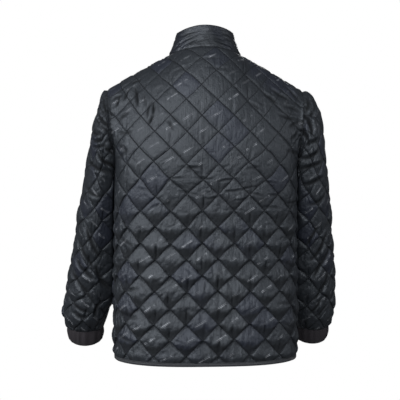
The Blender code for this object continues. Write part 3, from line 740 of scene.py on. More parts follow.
def swept(name, sections, uvs, material, closed):
    """A closed section swept along a path: [station, section point, xyz]. Closed joins the path's ends."""
    stations, around = sections.shape[:2]
    quad = quad_corners(stations if closed else stations - 1, around)
    index = np.stack([i % stations * around + j % around for i, j in quad], axis=1)
    places = np.stack([uvs[i, j] for i, j in quad], axis=1)
    faces, corners = index.tolist(), [places.reshape(-1, 2)]
    if not closed:
        faces += [list(range(around))[::-1], [(stations - 1) * around + k for k in range(around)]]
        corners += [uvs[0, :around][::-1], uvs[-1, :around]]
    points = sections.reshape(-1, 3)
    quads = points[index]
    volume = (
        np.cross(quads[:, 1] - quads[:, 0], quads[:, 2] - quads[:, 0])
        + np.cross(quads[:, 2] - quads[:, 0], quads[:, 3] - quads[:, 0])
    )
    middle = points.mean(axis=0) if not closed else sections.mean(axis=1)[index[:, 0] // around]
    if (volume * (quads.mean(axis=1) - middle)).sum() < 0:
        faces = [face[::-1] for face in faces]
        ends = np.cumsum([len(face) for face in faces])
        flat = np.concatenate(corners)
        corners = [flat[end - len(face) : end][::-1] for face, end in zip(faces, ends)]
    return finish_mesh(
        name, points, faces, np.concatenate(corners), [material], [0] * len(faces), "garment"
    )


def mirrored(grid):
    return grid[:, ::-1] * np.array([-1.0, 1.0, 1.0])


def wall_of(name, points, normals, height, thick, uvs, materials, folds, ring=False):
    """A wall of cloth from its form, the height of its face over the form and its thickness under it."""
    outer = points + normals * height[..., None]
    inner = (points - normals * thick[..., None])[::2, ::2]
    around = np.gradient(points, axis=1)
    outward = (np.cross(around, np.gradient(points, axis=0)) * normals).sum() > 0
    return shell(name, outer, inner, uvs, materials, outward, folds, ring)


def padded(height, share):
    """Thickness of quilted cloth under its form, from where its padding stands."""
    return np.maximum(WALL + 0.0012 * share, 0.0013 - height)


# ---------------------------------------------------------------- materials

# What every face of the nylon shares: a soft, slightly blue shine.
NYLON_FINISH = {"Specular_IOR_Level": 0.5, "Specular_Tint": (0.86, 0.92, 1.0, 1.0), "IOR": 1.55}
STITCHES_IN_ROW = 17.0  # stitches between two rows of quilting, so each is 3 mm long
STITCH_GAP = 0.25  # the share of a stitch that its needle hole takes


def add_node(tree, kind, inputs=None, **settings):
    """A node with its settings, and its inputs set to values or linked to other nodes' sockets."""
    node = tree.nodes.new(kind)
    for name, value in settings.items():
        setattr(node, name, value)
    for name, value in (inputs or {}).items():
        if isinstance(value, bpy.types.NodeSocket):
            tree.links.new(value, node.inputs[name])
        else:
            node.inputs[name].default_value = value
    return node


def result(tree, operation, *values):
    """What an operation makes of numbers."""
    return add_node(tree, "ShaderNodeMath", dict(enumerate(values)), operation=operation).outputs[0]


def vector_result(tree, operation, *vectors):
    """What an operation makes of vectors."""
    return add_node(tree, "ShaderNodeVectorMath", dict(enumerate(vectors)), operation=operation).outputs[0]


def turned_about_z(tree, vector, angle):
    """A vector turned about Z."""
    inputs = {"Vector": vector, "Angle": angle}
    return add_node(tree, "ShaderNodeVectorRotate", inputs, rotation_type="Z_AXIS").outputs["Vector"]


def ranged(tree, value, low=0.0, high=1.0, to_low=0.0, to_high=1.0, **settings):
    """A value brought from one range to another, and held between its ends."""
    inputs = {"Value": value, "From Min": low, "From Max": high, "To Min": to_low, "To Max": to_high}
    return add_node(tree, "ShaderNodeMapRange", inputs, **settings).outputs["Result"]


def mottled(tree, place, scale, detail=2.0, roughness=0.5, distortion=0.0):
    """Soft noise at a place."""
    inputs = {"Vector": place, "Scale": scale, "Detail": detail, "Roughness": roughness}
    return add_node(tree, "ShaderNodeTexNoise", {**inputs, "Distortion": distortion}).outputs["Fac"]


def mixed(tree, share, one, other, blend="MIX"):
    """One colour with a share of another laid over it."""
    inputs = {0: share, 6: one, 7: other}
    return add_node(tree, "ShaderNodeMix", inputs, data_type="RGBA", blend_type=blend).outputs[2]


def cloth_map(tree):
    """The map of a cloth piece, and its two parts."""
    place = add_node(tree, "ShaderNodeUVMap", uv_map="cloth").outputs["UV"]
    split = add_node(tree, "ShaderNodeSeparateXYZ", {"Vector": place})
    return place, split.outputs["X"], split.outputs["Y"]


def object_place(tree):
    return add_node(tree, "ShaderNodeTexCoord").outputs["Object"]


def raised(tree, shader, height, strength, distance):
    """Bumps on a shader, so many metres high."""
    bump = add_node(tree, "ShaderNodeBump", {"Height": height, "Strength": strength, "Distance": distance})
    tree.links.new(bump.outputs["Normal"], shader.inputs["Normal"])


def stitches(tree, along, per_unit, gap):
    """1 on the thread of a row of stitches, 0 at its needle holes."""
    part = result(tree, "FRACT", result(tree, "MULTIPLY", along, per_unit))
    return result(tree, "GREATER_THAN", part, gap)


def new_material(name, colour, roughness, metallic=0.0, **values):
    """A material with its shader's plain values set. Returns it, its tree and its shader."""
    material = bpy.data.materials.new(name)
    material.use_nodes = True
    tree = material.node_tree
    shader = tree.nodes["Principled BSDF"]
    shader.inputs["Base Color"].default_value = (*colour, 1)
    shader.inputs["Roughness"].default_value = roughness
    shader.inputs["Metallic"].default_value = metallic
    for socket, value in values.items():
        shader.inputs[socket.replace("_", " ")].default_value = value
    return material, tree, shader


def quilted_nylon_taffeta(colours, printed=True):
    """Plain-woven nylon, calendered on its face: a soft, broad shine, with painted shade that darkens its
    colour in the folds and along the stitch lines.
    """
    name = "quilted_nylon_taffeta" if printed else "nylon_taffeta_back"
    colour = colours.nylon if printed else colours.lining
    material, tree, shader = new_material(name, tuple(colour), 0.45, **NYLON_FINISH)
    # The piece's own map counts rows of stitching, 51 mm apart.
    place, a, b = cloth_map(tree)
    near_a, near_b = (result(tree, "PINGPONG", row, 0.5) for row in (a, b))
    # Lines that rise to the right are fainter over the shoulders, and both come and go.
    faint = ranged(tree, result(tree, "SUBTRACT", a, b), 0.5, 3.5, 0.0, 0.024)
    faint = result(tree, "MULTIPLY", mottled(tree, place, 2.2), faint)
    near = result(tree, "MINIMUM", near_a, result(tree, "ADD", near_b, faint))
    # The needle draws the cloth down 1.5 mm either side of the thread.
    groove = ranged(tree, near, 0.004, 0.034, interpolation_type="SMOOTHSTEP")
    # Crumples 4 to 12 mm across.
    crumple = mottled(tree, place, 5.0, 3.5, 0.62, 1.2)
    # Drags 3 mm wide and 20 mm long that run up the cloth.
    upright = vector_result(tree, "MULTIPLY", turned_about_z(tree, place, math.pi / 4), (1.5, 11, 1))
    drags = mottled(tree, upright, 1.0, 3.0, 0.6)
    # Puckers that cross each line of stitching, 3 to 5 mm apart.
    puckers = []
    for beside, scale in ((near_a, (2.5, 13, 1)), (near_b, (13, 2.5, 1))):
        pucker = mottled(tree, vector_result(tree, "MULTIPLY", place, scale), 1.0, 1.0)
        reach = ranged(tree, beside, 0.02, 0.22, 1.0, 0.0)
        puckers.append(result(tree, "MULTIPLY", pucker, reach))
    # Threads lie 0.2 mm apart, too fine to show, so the weave is drawn five times coarser.
    weave = add_node(tree, "ShaderNodeTexChecker", {"Vector": place, "Scale": 51.0}).outputs["Fac"]
    rise = 0.0
    for value, share in zip((groove, crumple, drags, *puckers, weave), (1.0, 1.0, 1.1, 0.9, 0.9, 0.03)):
        rise = result(tree, "MULTIPLY_ADD", value, share, rise)
    raised(tree, shader, rise, 0.85, 0.0014)

    # Each diamond has its own random numbers, by its row and column.
    row, column = (result(tree, "FLOOR", line) for line in (a, b))
    diamond = add_node(tree, "ShaderNodeCombineXYZ", {"X": row, "Y": column}).outputs[0]
    dice = add_node(tree, "ShaderNodeTexWhiteNoise", {"Vector": diamond}, noise_dimensions="3D")
    die = add_node(tree, "ShaderNodeSeparateColor", {"Color": dice.outputs["Color"]})
    cloth = printed_cloth(tree, colours, place, a, b, die) if printed else (*colour, 1)
    # Lockstitches 3 mm long, with a short gap at each needle hole.
    rows = []
    for beside, along in ((near_a, b), (near_b, a)):
        on_line = result(tree, "LESS_THAN", beside, 0.014)
        thread = stitches(tree, along, STITCHES_IN_ROW, STITCH_GAP)
        rows.append(result(tree, "MULTIPLY", on_line, thread))
    sewn = result(tree, "MAXIMUM", *rows)
    # Little light gets down into a fold, or to the stitches.
    fold = add_node(tree, "ShaderNodeAttribute", attribute_name="fold").outputs["Fac"]
    lit = result(tree, "MULTIPLY_ADD", fold, -0.94, 1.0)
    dark = result(tree, "MULTIPLY", ranged(tree, near, 0.008, 0.032, 0.35), lit)
    shaded = mixed(tree, 1.0, cloth, dark, "MULTIPLY")
    coloured = mixed(tree, sewn, shaded, (*colours.thread, 1))
    tree.links.new(coloured, shader.inputs["Base Color"])
    # The finish wears duller on the crests of the crumples, and thread and folds don't shine.
    rough = ranged(tree, crumple, to_low=0.36, to_high=0.56)
    rough = result(tree, "MULTIPLY_ADD", sewn, 0.35, rough)
    rough = result(tree, "MULTIPLY_ADD", fold, 0.5, rough)
    tree.links.new(rough, shader.inputs["Roughness"])
    return material


def bluer_nylon(tree, colours, share):
    return mixed(tree, share, (*colours.nylon, 1), (*colours.nylon_blue, 1))


def printed_cloth(tree, colours, place, a, b, die):
    """The cloth's colour: some diamonds bluer, and a short row of slanted dashes in most of them."""
    red, green, blue = (die.outputs[name] for name in ("Red", "Green", "Blue"))
    bluer = result(tree, "MULTIPLY", red, mottled(tree, place, 0.45, 1.0))
    cloth = bluer_nylon(tree, colours, ranged(tree, bluer, 0.32, 0.44))
    # Right and up across a diamond, in rows of stitching, from a place near its middle.
    part_a, part_b = (result(tree, "FRACT", row) for row in (a, b))
    local = add_node(tree, "ShaderNodeCombineXYZ", {"X": part_a, "Y": part_b}).outputs[0]
    shift = add_node(tree, "ShaderNodeCombineXYZ", {"X": green, "Y": blue}).outputs[0]
    shift = vector_result(tree, "MULTIPLY_ADD", shift, (0.36, 0.36, 0), (0.34, 0.30, 0))
    # A row of stitching runs at 45 degrees, so 13 degrees back from it the dashes climb at 32.
    local = turned_about_z(tree, vector_result(tree, "SUBTRACT", local, shift), math.radians(-13))
    split = add_node(tree, "ShaderNodeSeparateXYZ", {"Vector": local})
    along, beside = split.outputs["X"], split.outputs["Y"]
    within = result(tree, "LESS_THAN", result(tree, "ABSOLUTE", along), 0.28)
    narrow = result(tree, "LESS_THAN", result(tree, "ABSOLUTE", beside), 0.046)
    # Dashes 2 mm wide and 5 mm tall, 4 mm apart, leaning over.
    bars = stitches(tree, result(tree, "MULTIPLY_ADD", beside, -0.6, along), 12.0, 0.40)
    worn = ranged(tree, mottled(tree, place, 3.1, 3.0), 0.42, 0.62, to_high=0.8)
    # Some diamonds show hardly any of it.
    shown = result(tree, "FRACT", result(tree, "MULTIPLY", red, 7.3))
    shown = ranged(tree, shown, 0.1, 0.8, 0.1)
    ink = within
    for share in (narrow, bars, worn, shown):
        ink = result(tree, "MULTIPLY", ink, share)
    return mixed(tree, ink, cloth, (*colours.dashes, 1))


def nylon_pair():
    """The printed face and the plain back of the quilted cloth, made once."""
    found = [bpy.data.materials.get(name) for name in ("quilted_nylon_taffeta", "nylon_taffeta_back")]
    if None in found:
        colours = bpy.context.scene.jacket_colours
        found = [quilted_nylon_taffeta(colours, printed) for printed in (True, False)]
    return found


def collar_taffeta():
    """The same nylon without its diamonds: soft shine, fine crumples, one row of topstitching."""
    colours = bpy.context.scene.jacket_colours
    material, tree, shader = new_material("nylon_taffeta", tuple(colours.nylon), 0.42, **NYLON_FINISH)
    # The map is in rows of quilting, 51 mm.
    place, across, height = cloth_map(tree)
    inputs = {"Vector": place, "Rotation": (0, 0, 0.5), "Scale": (3, 9, 1)}
    drawn = add_node(tree, "ShaderNodeMapping", inputs).outputs["Vector"]
    folds = mottled(tree, drawn, 1.0, 4.0, 0.6, 1.0)
    raised(tree, shader, folds, 0.8, 0.0020)
    cloth = bluer_nylon(tree, colours, ranged(tree, mottled(tree, place, 1.1, 1.0), 0.45, 0.6))
    # Painted shade: the colour is darkened in the hollows of the crumples, and the whole collar is somewhat
    # darker.
    cloth = mixed(tree, 1.0, cloth, ranged(tree, folds, to_low=0.40, to_high=0.88), "MULTIPLY")
    # Topstitching 15 mm below the edge.
    line = result(tree, "COMPARE", height, 0.682, 0.010)
    sewn = result(tree, "MULTIPLY", line, stitches(tree, across, STITCHES_IN_ROW, STITCH_GAP))
    coloured = mixed(tree, sewn, cloth, (*colours.thread, 1))
    tree.links.new(coloured, shader.inputs["Base Color"])
    return material


def rib_knit_wool(colours):
    """Elastic rib knit: matt and fuzzy, so it is the darkest cloth of the jacket."""
    material, tree, shader = new_material(
        "rib_knit", tuple(colours.knit), 0.9, Sheen_Weight=0.25, Sheen_Roughness=0.6
    )
    # The map counts ribs round the cuff, 3 mm apart, and rows of loops up it, 1 mm apart.
    place, around, up = cloth_map(tree)
    rib, loop = (result(tree, "PINGPONG", count, 0.5) for count in (around, up))
    rise = result(tree, "MULTIPLY_ADD", loop, 0.35, rib)
    rise = result(tree, "MULTIPLY_ADD", mottled(tree, place, 2.0, 3.0), 0.5, rise)
    raised(tree, shader, rise, 0.8, 0.0008)
    # Painted shade and highlight: the colour is darkened in the hollows between ribs and loops, and lightened
    # on their crests.
    coloured = mixed(tree, 1.0, (*colours.knit, 1), ranged(tree, rise, 0.1, 0.9, 0.35, 1.25), "MULTIPLY")
    tree.links.new(coloured, shader.inputs["Base Color"])
    return material


def woven_binding(colours):
    """Woven binding tape, folded over the hem: a slight lustre, with its stitching near the upper edge."""
    material, tree, shader = new_material("woven_binding", tuple(colours.binding), 0.5, Sheen_Weight=0.1)
    # The map is in millimetres along the tape and round it. Its ribs are 1.4 mm apart, its stitches 3.2 mm.
    place, along, around = cloth_map(tree)
    ribs = result(tree, "PINGPONG", along, 0.7)
    wear = mottled(tree, place, 0.15, 4.0)
    line = result(tree, "COMPARE", around, 2.0, 0.45)
    sewn = result(tree, "MULTIPLY", stitches(tree, along, 1 / 3.2, 0.22), line)
    rise = result(tree, "MULTIPLY_ADD", wear, 0.8, ribs)
    rise = result(tree, "MULTIPLY_ADD", sewn, -0.6, rise)
    raised(tree, shader, rise, 0.7, 0.0006)
    cloth = mixed(tree, 1.0, (*colours.binding, 1), ranged(tree, wear, to_low=0.7, to_high=1.3), "MULTIPLY")
    tree.links.new(mixed(tree, sewn, cloth, (*colours.thread, 1)), shader.inputs["Base Color"])
    return material


def twill_tape(colours):
    """Polyester zip tape, woven in a fine herringbone: matt, with a faint slanting rib."""
    material, tree, shader = new_material("twill_zip_tape", tuple(colours.tape), 0.85)
    slant = add_node(
        tree, "ShaderNodeMapping", {"Vector": object_place(tree), "Rotation": (0, math.radians(35), 0)}
    ).outputs["Vector"]
    # Ribs 0.6 mm apart.
    inputs = {"Vector": slant, "Scale": 80.0, "Distortion": 0.5}
    rib = add_node(tree, "ShaderNodeTexWave", inputs, bands_direction="Z").outputs["Fac"]
    raised(tree, shader, rib, 0.5, 0.0002)
    # Painted shade: the colour is darker in the hollows between the ribs.
    darker = (*(c * 0.7 for c in colours.tape), 1)
    tree.links.new(mixed(tree, rib, darker, (*colours.tape, 1)), shader.inputs["Base Color"])
    return material


def moulded_teeth(colours):
    """Acetal zip teeth, moulded on the tape: a waxy half gloss."""
    material, tree, shader = new_material("moulded_zip_teeth", tuple(colours.teeth), 0.38)
    grain = mottled(tree, object_place(tree), 900.0)
    tree.links.new(ranged(tree, grain, to_low=0.30, to_high=0.48), shader.inputs["Roughness"])
    return material


def plated_zinc(colours):
    """Die-cast zinc, plated dark: a metal gleam, worn brighter in small scratches."""
    material, tree, shader = new_material("dark_plated_zinc", tuple(colours.metal), 0.32, metallic=1.0)
    marks = mottled(tree, object_place(tree), 700.0, 3.0, 0.6)
    tree.links.new(ranged(tree, marks, to_low=0.22, to_high=0.45), shader.inputs["Roughness"])
    darker = (*(c * 0.75 for c in colours.metal), 1)
    tree.links.new(mixed(tree, marks, darker, (*colours.metal, 1)), shader.inputs["Base Color"])
    return material


def matt_paper(name, colour):
    """Seamless studio paper: matt, with a barely visible mottle."""
    material, tree, shader = new_material(name, colour, 0.9)
    shade = ranged(tree, mottled(tree, object_place(tree), 3.0), to_low=0.97)
    tree.links.new(mixed(tree, 1.0, (*colour, 1), shade, "MULTIPLY"), shader.inputs["Base Color"])
    return material


# ---------------------------------------------------------------- pieces


def settled(distance):
    """How much of the padding's height is left close to a seam."""
    return 0.15 + 0.85 * smooth(distance / 0.014)


def pressed_down(rise, settle):
    """The padding's height where a seam holds it down. The stitch lines keep a third of their depth."""
    return np.minimum(rise, 0) * (0.35 + 0.65 * settle) + np.maximum(rise, 0) * settle


def panel_height(points, u, v, a, b, seams, creases, quilt, seed):
    """Height of a body panel's face over its form, how far its padding stands, and the folds' part of it,
    with painted shade added under the fullest diamonds.
    """
    lowness = smooth((0.03 - v) / 0.22)
    height = quilt.high_puff + (quilt.low_puff - quilt.high_puff) * lowness
    rise = quilted(a, b, height, lowness, quilt, seed)
    drawn, folds = creased(u, v, creases), np.zeros(u.shape)
    rise += 0.0006 * noise(u / 0.05, v / 0.05, seed + 31)
    settle = np.ones(u.shape)
    for seam, *pucker in seams:
        distance, along, length = from_seam(points, seam)
        settle *= settled(distance)
        drawn *= smooth(distance / 0.007)
        folds += puckered(distance, along, length, *pucker)
    share = np.clip(rise / height + 0.55, 0, 1)
    folds += drawn
    rise = pressed_down(rise, settle) + folds
    # Little light gets under the fullest diamonds: their lower part is dark, with a ragged edge.
    edge = 0.40 + 0.10 * noise(u / 0.007, v / 0.020, seed + 41)
    edge += 0.08 * noise(u / 0.030, v / 0.030, seed + 42)
    place = (a % 1 + 1 - b % 1) / 2
    folds = np.minimum(folds, -0.0020 * lowness * smooth((edge - place) / 0.10))
    # The sleeves lie close along the sides, further forward lower down.
    x, y, z = np.abs(points[..., 0]), points[..., 1], points[..., 2]
    heights = [-(ring.outer_z + ring.inner_z) / 2 for ring in SLEEVE]
    centre = np.interp(-z, heights, [ring.centre_y for ring in SLEEVE])
    depth = np.interp(-z, heights, [ring.half_depth for ring in SLEEVE])
    beside = smooth((x - 0.190) / 0.018) * smooth((-0.20 - z) / 0.06)
    beside *= smooth((depth + 0.014 - np.abs(y - centre)) / 0.012)
    return kept_clear(rise, beside), share, folds


def make_body():
    """Back and both fronts, each a quilted wall."""
    quilt = bpy.context.scene.jacket_quilt
    first, last = ARMHOLE_COLUMNS, ARMHOLE_COLUMNS + SHOULDER_COLUMNS
    halves = {side: half_panel(side) for side in (-1, 1)}
    for seam in (np.s_[:, 0], np.s_[-1, first : last + 1]):
        both = unit(halves[-1][1][seam] + halves[1][1][seam])
        halves[-1][1][seam] = both
        halves[1][1][seam] = both
    halves[-1][1][:, -1, 0] = 0
    angles = np.linspace(math.pi, 0, first + 1)
    for side, (points, normals, u, v) in halves.items():
        ways = armhole_ways(angles * side)
        halves[side] = points, turned_at(points, normals, points[-1, : first + 1], ways), u, v
    for side, (points, normals, u, v) in halves.items():
        points[:, 0] -= unit(points[:, 1] - points[:, 0]) * TUCK
        points[-1] -= unit(points[-2] - points[-1]) * TUCK
        if side > 0:
            points[:, -1, 0] = ZIP_EDGE
    points, normals, u, v = halves[-1]
    points = np.concatenate([points, mirrored(points)[:, 1:]], axis=1)
    normals = unit(np.concatenate([normals, mirrored(normals)[:, 1:]], axis=1))
    u = np.concatenate([u, -u[:, ::-1][:, 1:]], axis=1)
    v = np.concatenate([v, v[:, ::-1][:, 1:]], axis=1)
    seams = (
        (points[-1, : first + 1], *PUCKERS["armhole"], 101),
        (points[-1, first : last + 1], *PUCKERS["shoulder"], 102),
        (points[-1, last : -last - 1], *PUCKERS["neck"], 103),
        (points[-1, -last - 1 : -first], *PUCKERS["shoulder"], 104),
        (points[-1, -first - 1 :], *PUCKERS["armhole"], 105),
        (points[:, 0], *PUCKERS["side"], 106),
        (points[:, -1], *PUCKERS["side"], 107),
        (points[0], *PUCKERS["hem"], 108),
    )
    build_panel("back", points, normals, u, v, seams, BACK_CREASES, quilt, 1)
    points, normals, u, v = halves[1]
    for side, name in ((1, "right"), (-1, "left")):
        grid, ways = (points, normals) if side > 0 else (mirrored(points), mirrored(normals))
        across, up = (u, v) if side > 0 else (u[:, ::-1], v[:, ::-1])
        top = grid[-1] if side > 0 else grid[-1, ::-1]
        side_seam, zip_edge = (grid[:, 0], grid[:, -1]) if side > 0 else (grid[:, -1], grid[:, 0])
        seams = (
            (top[: first + 1], *PUCKERS["armhole"], 200 + side),
            (top[first : last + 1], *PUCKERS["shoulder"], 210 + side),
            (top[last:], *PUCKERS["front neck"], 220 + side),
            (side_seam, *PUCKERS["side"], 230 + side),
            (zip_edge, *PUCKERS["zip"], 240 + side),
            (grid[0], *PUCKERS["hem"], 250 + side),
        )
        build_panel(f"front_{name}", grid, ways, across, up, seams, FRONT_CREASES, quilt, 5 + side)


def build_panel(node, points, normals, u, v, seams, creases, quilt, seed):
    a, b = lattice(*wandering(u, v, quilt.seed + seed))
    height, share, folds = panel_height(points, u, v, a, b, seams, creases, quilt, seed)
    uvs = np.stack([a, b], axis=-1)
    piece = wall_of(
        f"{node}_cloth", points, normals, height, padded(height, share), uvs, nylon_pair(), folds
    )
    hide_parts(node)


def pressed(points, where):
    """Sleeve points, moved to lie flat along the torso's side where they come close to it."""
    x, y, z = (points[..., k] for k in range(3))
    depth = np.where(y > 0, table_curve(z, TORSO, "front_depth"), table_curve(z, TORSO, "back_depth"))
    side = table_curve(z, TORSO, "half_width") * (1 - np.clip(np.abs(y) / depth, 0, 1) ** 3) ** (1 / 3)
    gap = x - side
    clear = 0.0016  # left between sleeve and body
    closer = clear + (gap - clear) * smooth((gap - 0.008) / 0.022)
    share = smooth((where[:, None] - 0.6) / 2.0) * (np.abs(y) < depth) * (gap < 0.031)
    moved = points.copy()
    moved[..., 0] = x + (closer - gap) * share
    return moved


def sleeve_form(side):
    """A sleeve's form as on the right: points, normals, cloth coordinates and how far round each column is.

    Up the cloth is measured from the cuff. Across it starts at the seam next to the body, where the
    cloth coordinates have one more column than the points, and runs by the back to the outer line.
    """
    angles = math.pi + 2 * math.pi * np.arange(SLEEVE_COLUMNS) / SLEEVE_COLUMNS
    places = np.arange(len(SLEEVE))
    fine = np.linspace(0, len(SLEEVE) - 1, 600)
    left = 1.0 if side < 0 else 0.0

    def rings_at(where):
        columns = ([ring[k] for ring in SLEEVE] for k in range(len(Ring._fields)))
        return Ring(*(curve_through(where, places, column) for column in columns))

    middle = ring_points(rings_at(fine), [math.pi / 2, 3 * math.pi / 2, 0], left).mean(axis=1)
    lengths = arc_lengths(middle)
    where = np.interp(np.linspace(0, lengths[-1], SLEEVE_ROWS + 1), lengths, fine)
    points = pressed(ring_points(rings_at(where), angles, left), where)
    start = points[0]
    quarter = SLEEVE_COLUMNS // 4
    armhole = unit(np.cross(start[quarter] - start[3 * quarter], start[2 * quarter] - start[0]))
    points[0] -= armhole * np.sign(armhole[0]) * 3 * TUCK
    normals = grid_normals(points, points.mean(axis=1, keepdims=True), ring=True)
    closed = np.concatenate([points, points[:, :1]], axis=1)
    ways = armhole_ways(np.append(angles, 3 * math.pi))
    normals = turned_at(points, normals, closed[0], ways)
    steps = np.linalg.norm(np.diff(closed, axis=0), axis=-1)
    v = np.concatenate([np.cumsum(steps[::-1], axis=0)[::-1], np.zeros((1, SLEEVE_COLUMNS + 1))])
    girth = np.linalg.norm(np.diff(closed, axis=1), axis=-1).sum(axis=1)
    girth = np.maximum(girth, girth[np.argmin(np.abs(where - 13.0))])[:, None]
    return points, normals, np.linspace(-0.5, 0.5, SLEEVE_COLUMNS + 1) * girth, v, angles


def make_sleeve(side):
    """One quilted sleeve: side is 1 on the wearer's right. Returns its last ring of points."""
    quilt = bpy.context.scene.jacket_quilt
    name = "right" if side > 0 else "left"
    points, normals, u, v, angles = sleeve_form(side)
    a, b = lattice(*wandering(u, v, quilt.seed + 20 + side, reach=0.004))
    uvs = np.stack([a, b], axis=-1)
    u, v, a, b = u[:, :-1], v[:, :-1], a[:, :-1], b[:, :-1]
    lowness = 0.35 + 0.4 * smooth((0.40 - v) / 0.3)
    height = quilt.high_puff + (quilt.low_puff - quilt.high_puff) * lowness
    rise = quilted(a, b, height, lowness, quilt, 20 + side)
    folds = creased(u, v, SLEEVE_CREASES[side])
    rise += 0.0010 * noise(u / 0.06, v / 0.06, 41 + side)
    settle = np.ones(u.shape)
    armhole_seam = np.concatenate([points[0], points[0, :1]])
    cuff_seam = np.concatenate([points[-1], points[-1, :1]])
    seams = (
        (armhole_seam, *PUCKERS["sleeve head"], 300 + side),
        (cuff_seam, *PUCKERS["cuff"], 310 + side),
        (points[:, 0], *PUCKERS["sleeve"], 320 + side),
    )
    for seam, *pucker in seams:
        distance, along, length = from_seam(points, seam)
        settle *= settled(distance)
        folds += puckered(distance, along, length, *pucker)
    share = np.clip(rise / height + 0.55, 0, 1)
    rise = pressed_down(rise, settle) + folds
    # The sleeve's head stands up over its seam, across the shoulder.
    away = from_seam(points, armhole_seam)[0]
    head = HEAD_RISE * smooth((np.cos(angles) + 0.2) / 0.7)
    rise += head * smooth(away / 0.004) * smooth((0.050 - away) / 0.040)
    rise = kept_clear(rise, smooth((-np.cos(angles)[None, :] - 0.45) / 0.35))
    flip = np.array([side, 1, 1])
    piece = wall_of(
        f"sleeve_{name}_cloth", points * flip, normals * flip, rise, padded(rise, share), uvs, nylon_pair(),
        folds, ring=True,
    )
    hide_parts(f"sleeve_{name}")
    return points[-1] * flip


def make_collar():
    """The standing collar: quilted cloth turned double, so it is smooth but for its wrinkles."""
    quarters = [neck_turns(way, COLLAR_COLUMNS // 2) for way in (1, -1)]
    turns = np.concatenate([quarters[0][::-1], quarters[1][1:]])
    open_turn = math.asin(ZIP_EDGE / NECK_HALF_WIDTH)
    levels = 1 - (1 - np.linspace(0, 1, COLLAR_ROWS + 1)) ** 1.1
    half_widths, back_depths = (table_curve(levels, COLLAR, name)[:, None] for name in CollarRow._fields[1:])
    edges = np.arcsin(ZIP_EDGE / half_widths)
    opened = (turns - math.pi / 2) / (math.pi / 2 - open_turn)
    turned = np.where(turns > math.pi / 2, math.pi / 2 + opened * (math.pi / 2 - edges), turns)
    depths = np.where(turned < math.pi / 2, back_depths, NECK_FRONT)
    lift = SEAM_GAP + COLLAR_HEIGHT * levels[:, None]
    half = np.stack(
        [half_widths * np.sin(turned), -depths * np.cos(turned), neck_points(turns)[:, 2] + lift], axis=-1
    )
    half[:, -1, 0] = 0
    points = np.concatenate([half, mirrored(half)[:, 1:]], axis=1)
    normals = grid_normals(points, np.array([0, 0, -0.03]))
    across = np.linalg.norm(np.diff(points, axis=1), axis=-1)
    u = np.concatenate([np.zeros((len(points), 1)), np.cumsum(across, axis=1)], axis=1)
    u = -(u - u[:, u.shape[1] // 2][:, None])
    v = np.broadcast_to(COLLAR_HEIGHT * levels[:, None], u.shape)
    rise = creased(u, v, COLLAR_CREASES)
    folds = rise.copy()
    rise += 0.0007 * noise(u / 0.018, v / 0.010, 61) + 0.0004 * noise(u / 0.007, v / 0.006, 62)
    seams = (
        (points[0], *PUCKERS["collar"], 401),
        (points[:, 0], *PUCKERS["collar end"], 402),
        (points[:, -1], *PUCKERS["collar end"], 403),
    )
    for seam, *pucker in seams:
        rise += puckered(*from_seam(points, seam), *pucker)
    # A topstitched band along the upper edge, which is turned over round.
    below_top = COLLAR_HEIGHT - v
    rise -= 0.0010 * np.exp(-(((below_top - 0.015) / 0.0016) ** 2))
    rise -= 0.0020 * (1 - np.sqrt(1 - np.clip(1 - below_top / 0.002, 0, 1) ** 2))
    thick = np.minimum(WALL, 0.0016 + 0.0024 * np.sqrt(1 - np.clip(1 - below_top / 0.003, 0, 1) ** 2))
    uvs = np.stack([u / ROW_GAP * 0.9 + 0.5, v / ROW_GAP * 0.86 + 0.06], axis=-1)
    thick = np.maximum(thick, 0.0012 - rise)
    piece = wall_of("collar_cloth", points, normals, rise, thick, uvs, [collar_taffeta()] * 2, folds)
    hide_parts("collar")


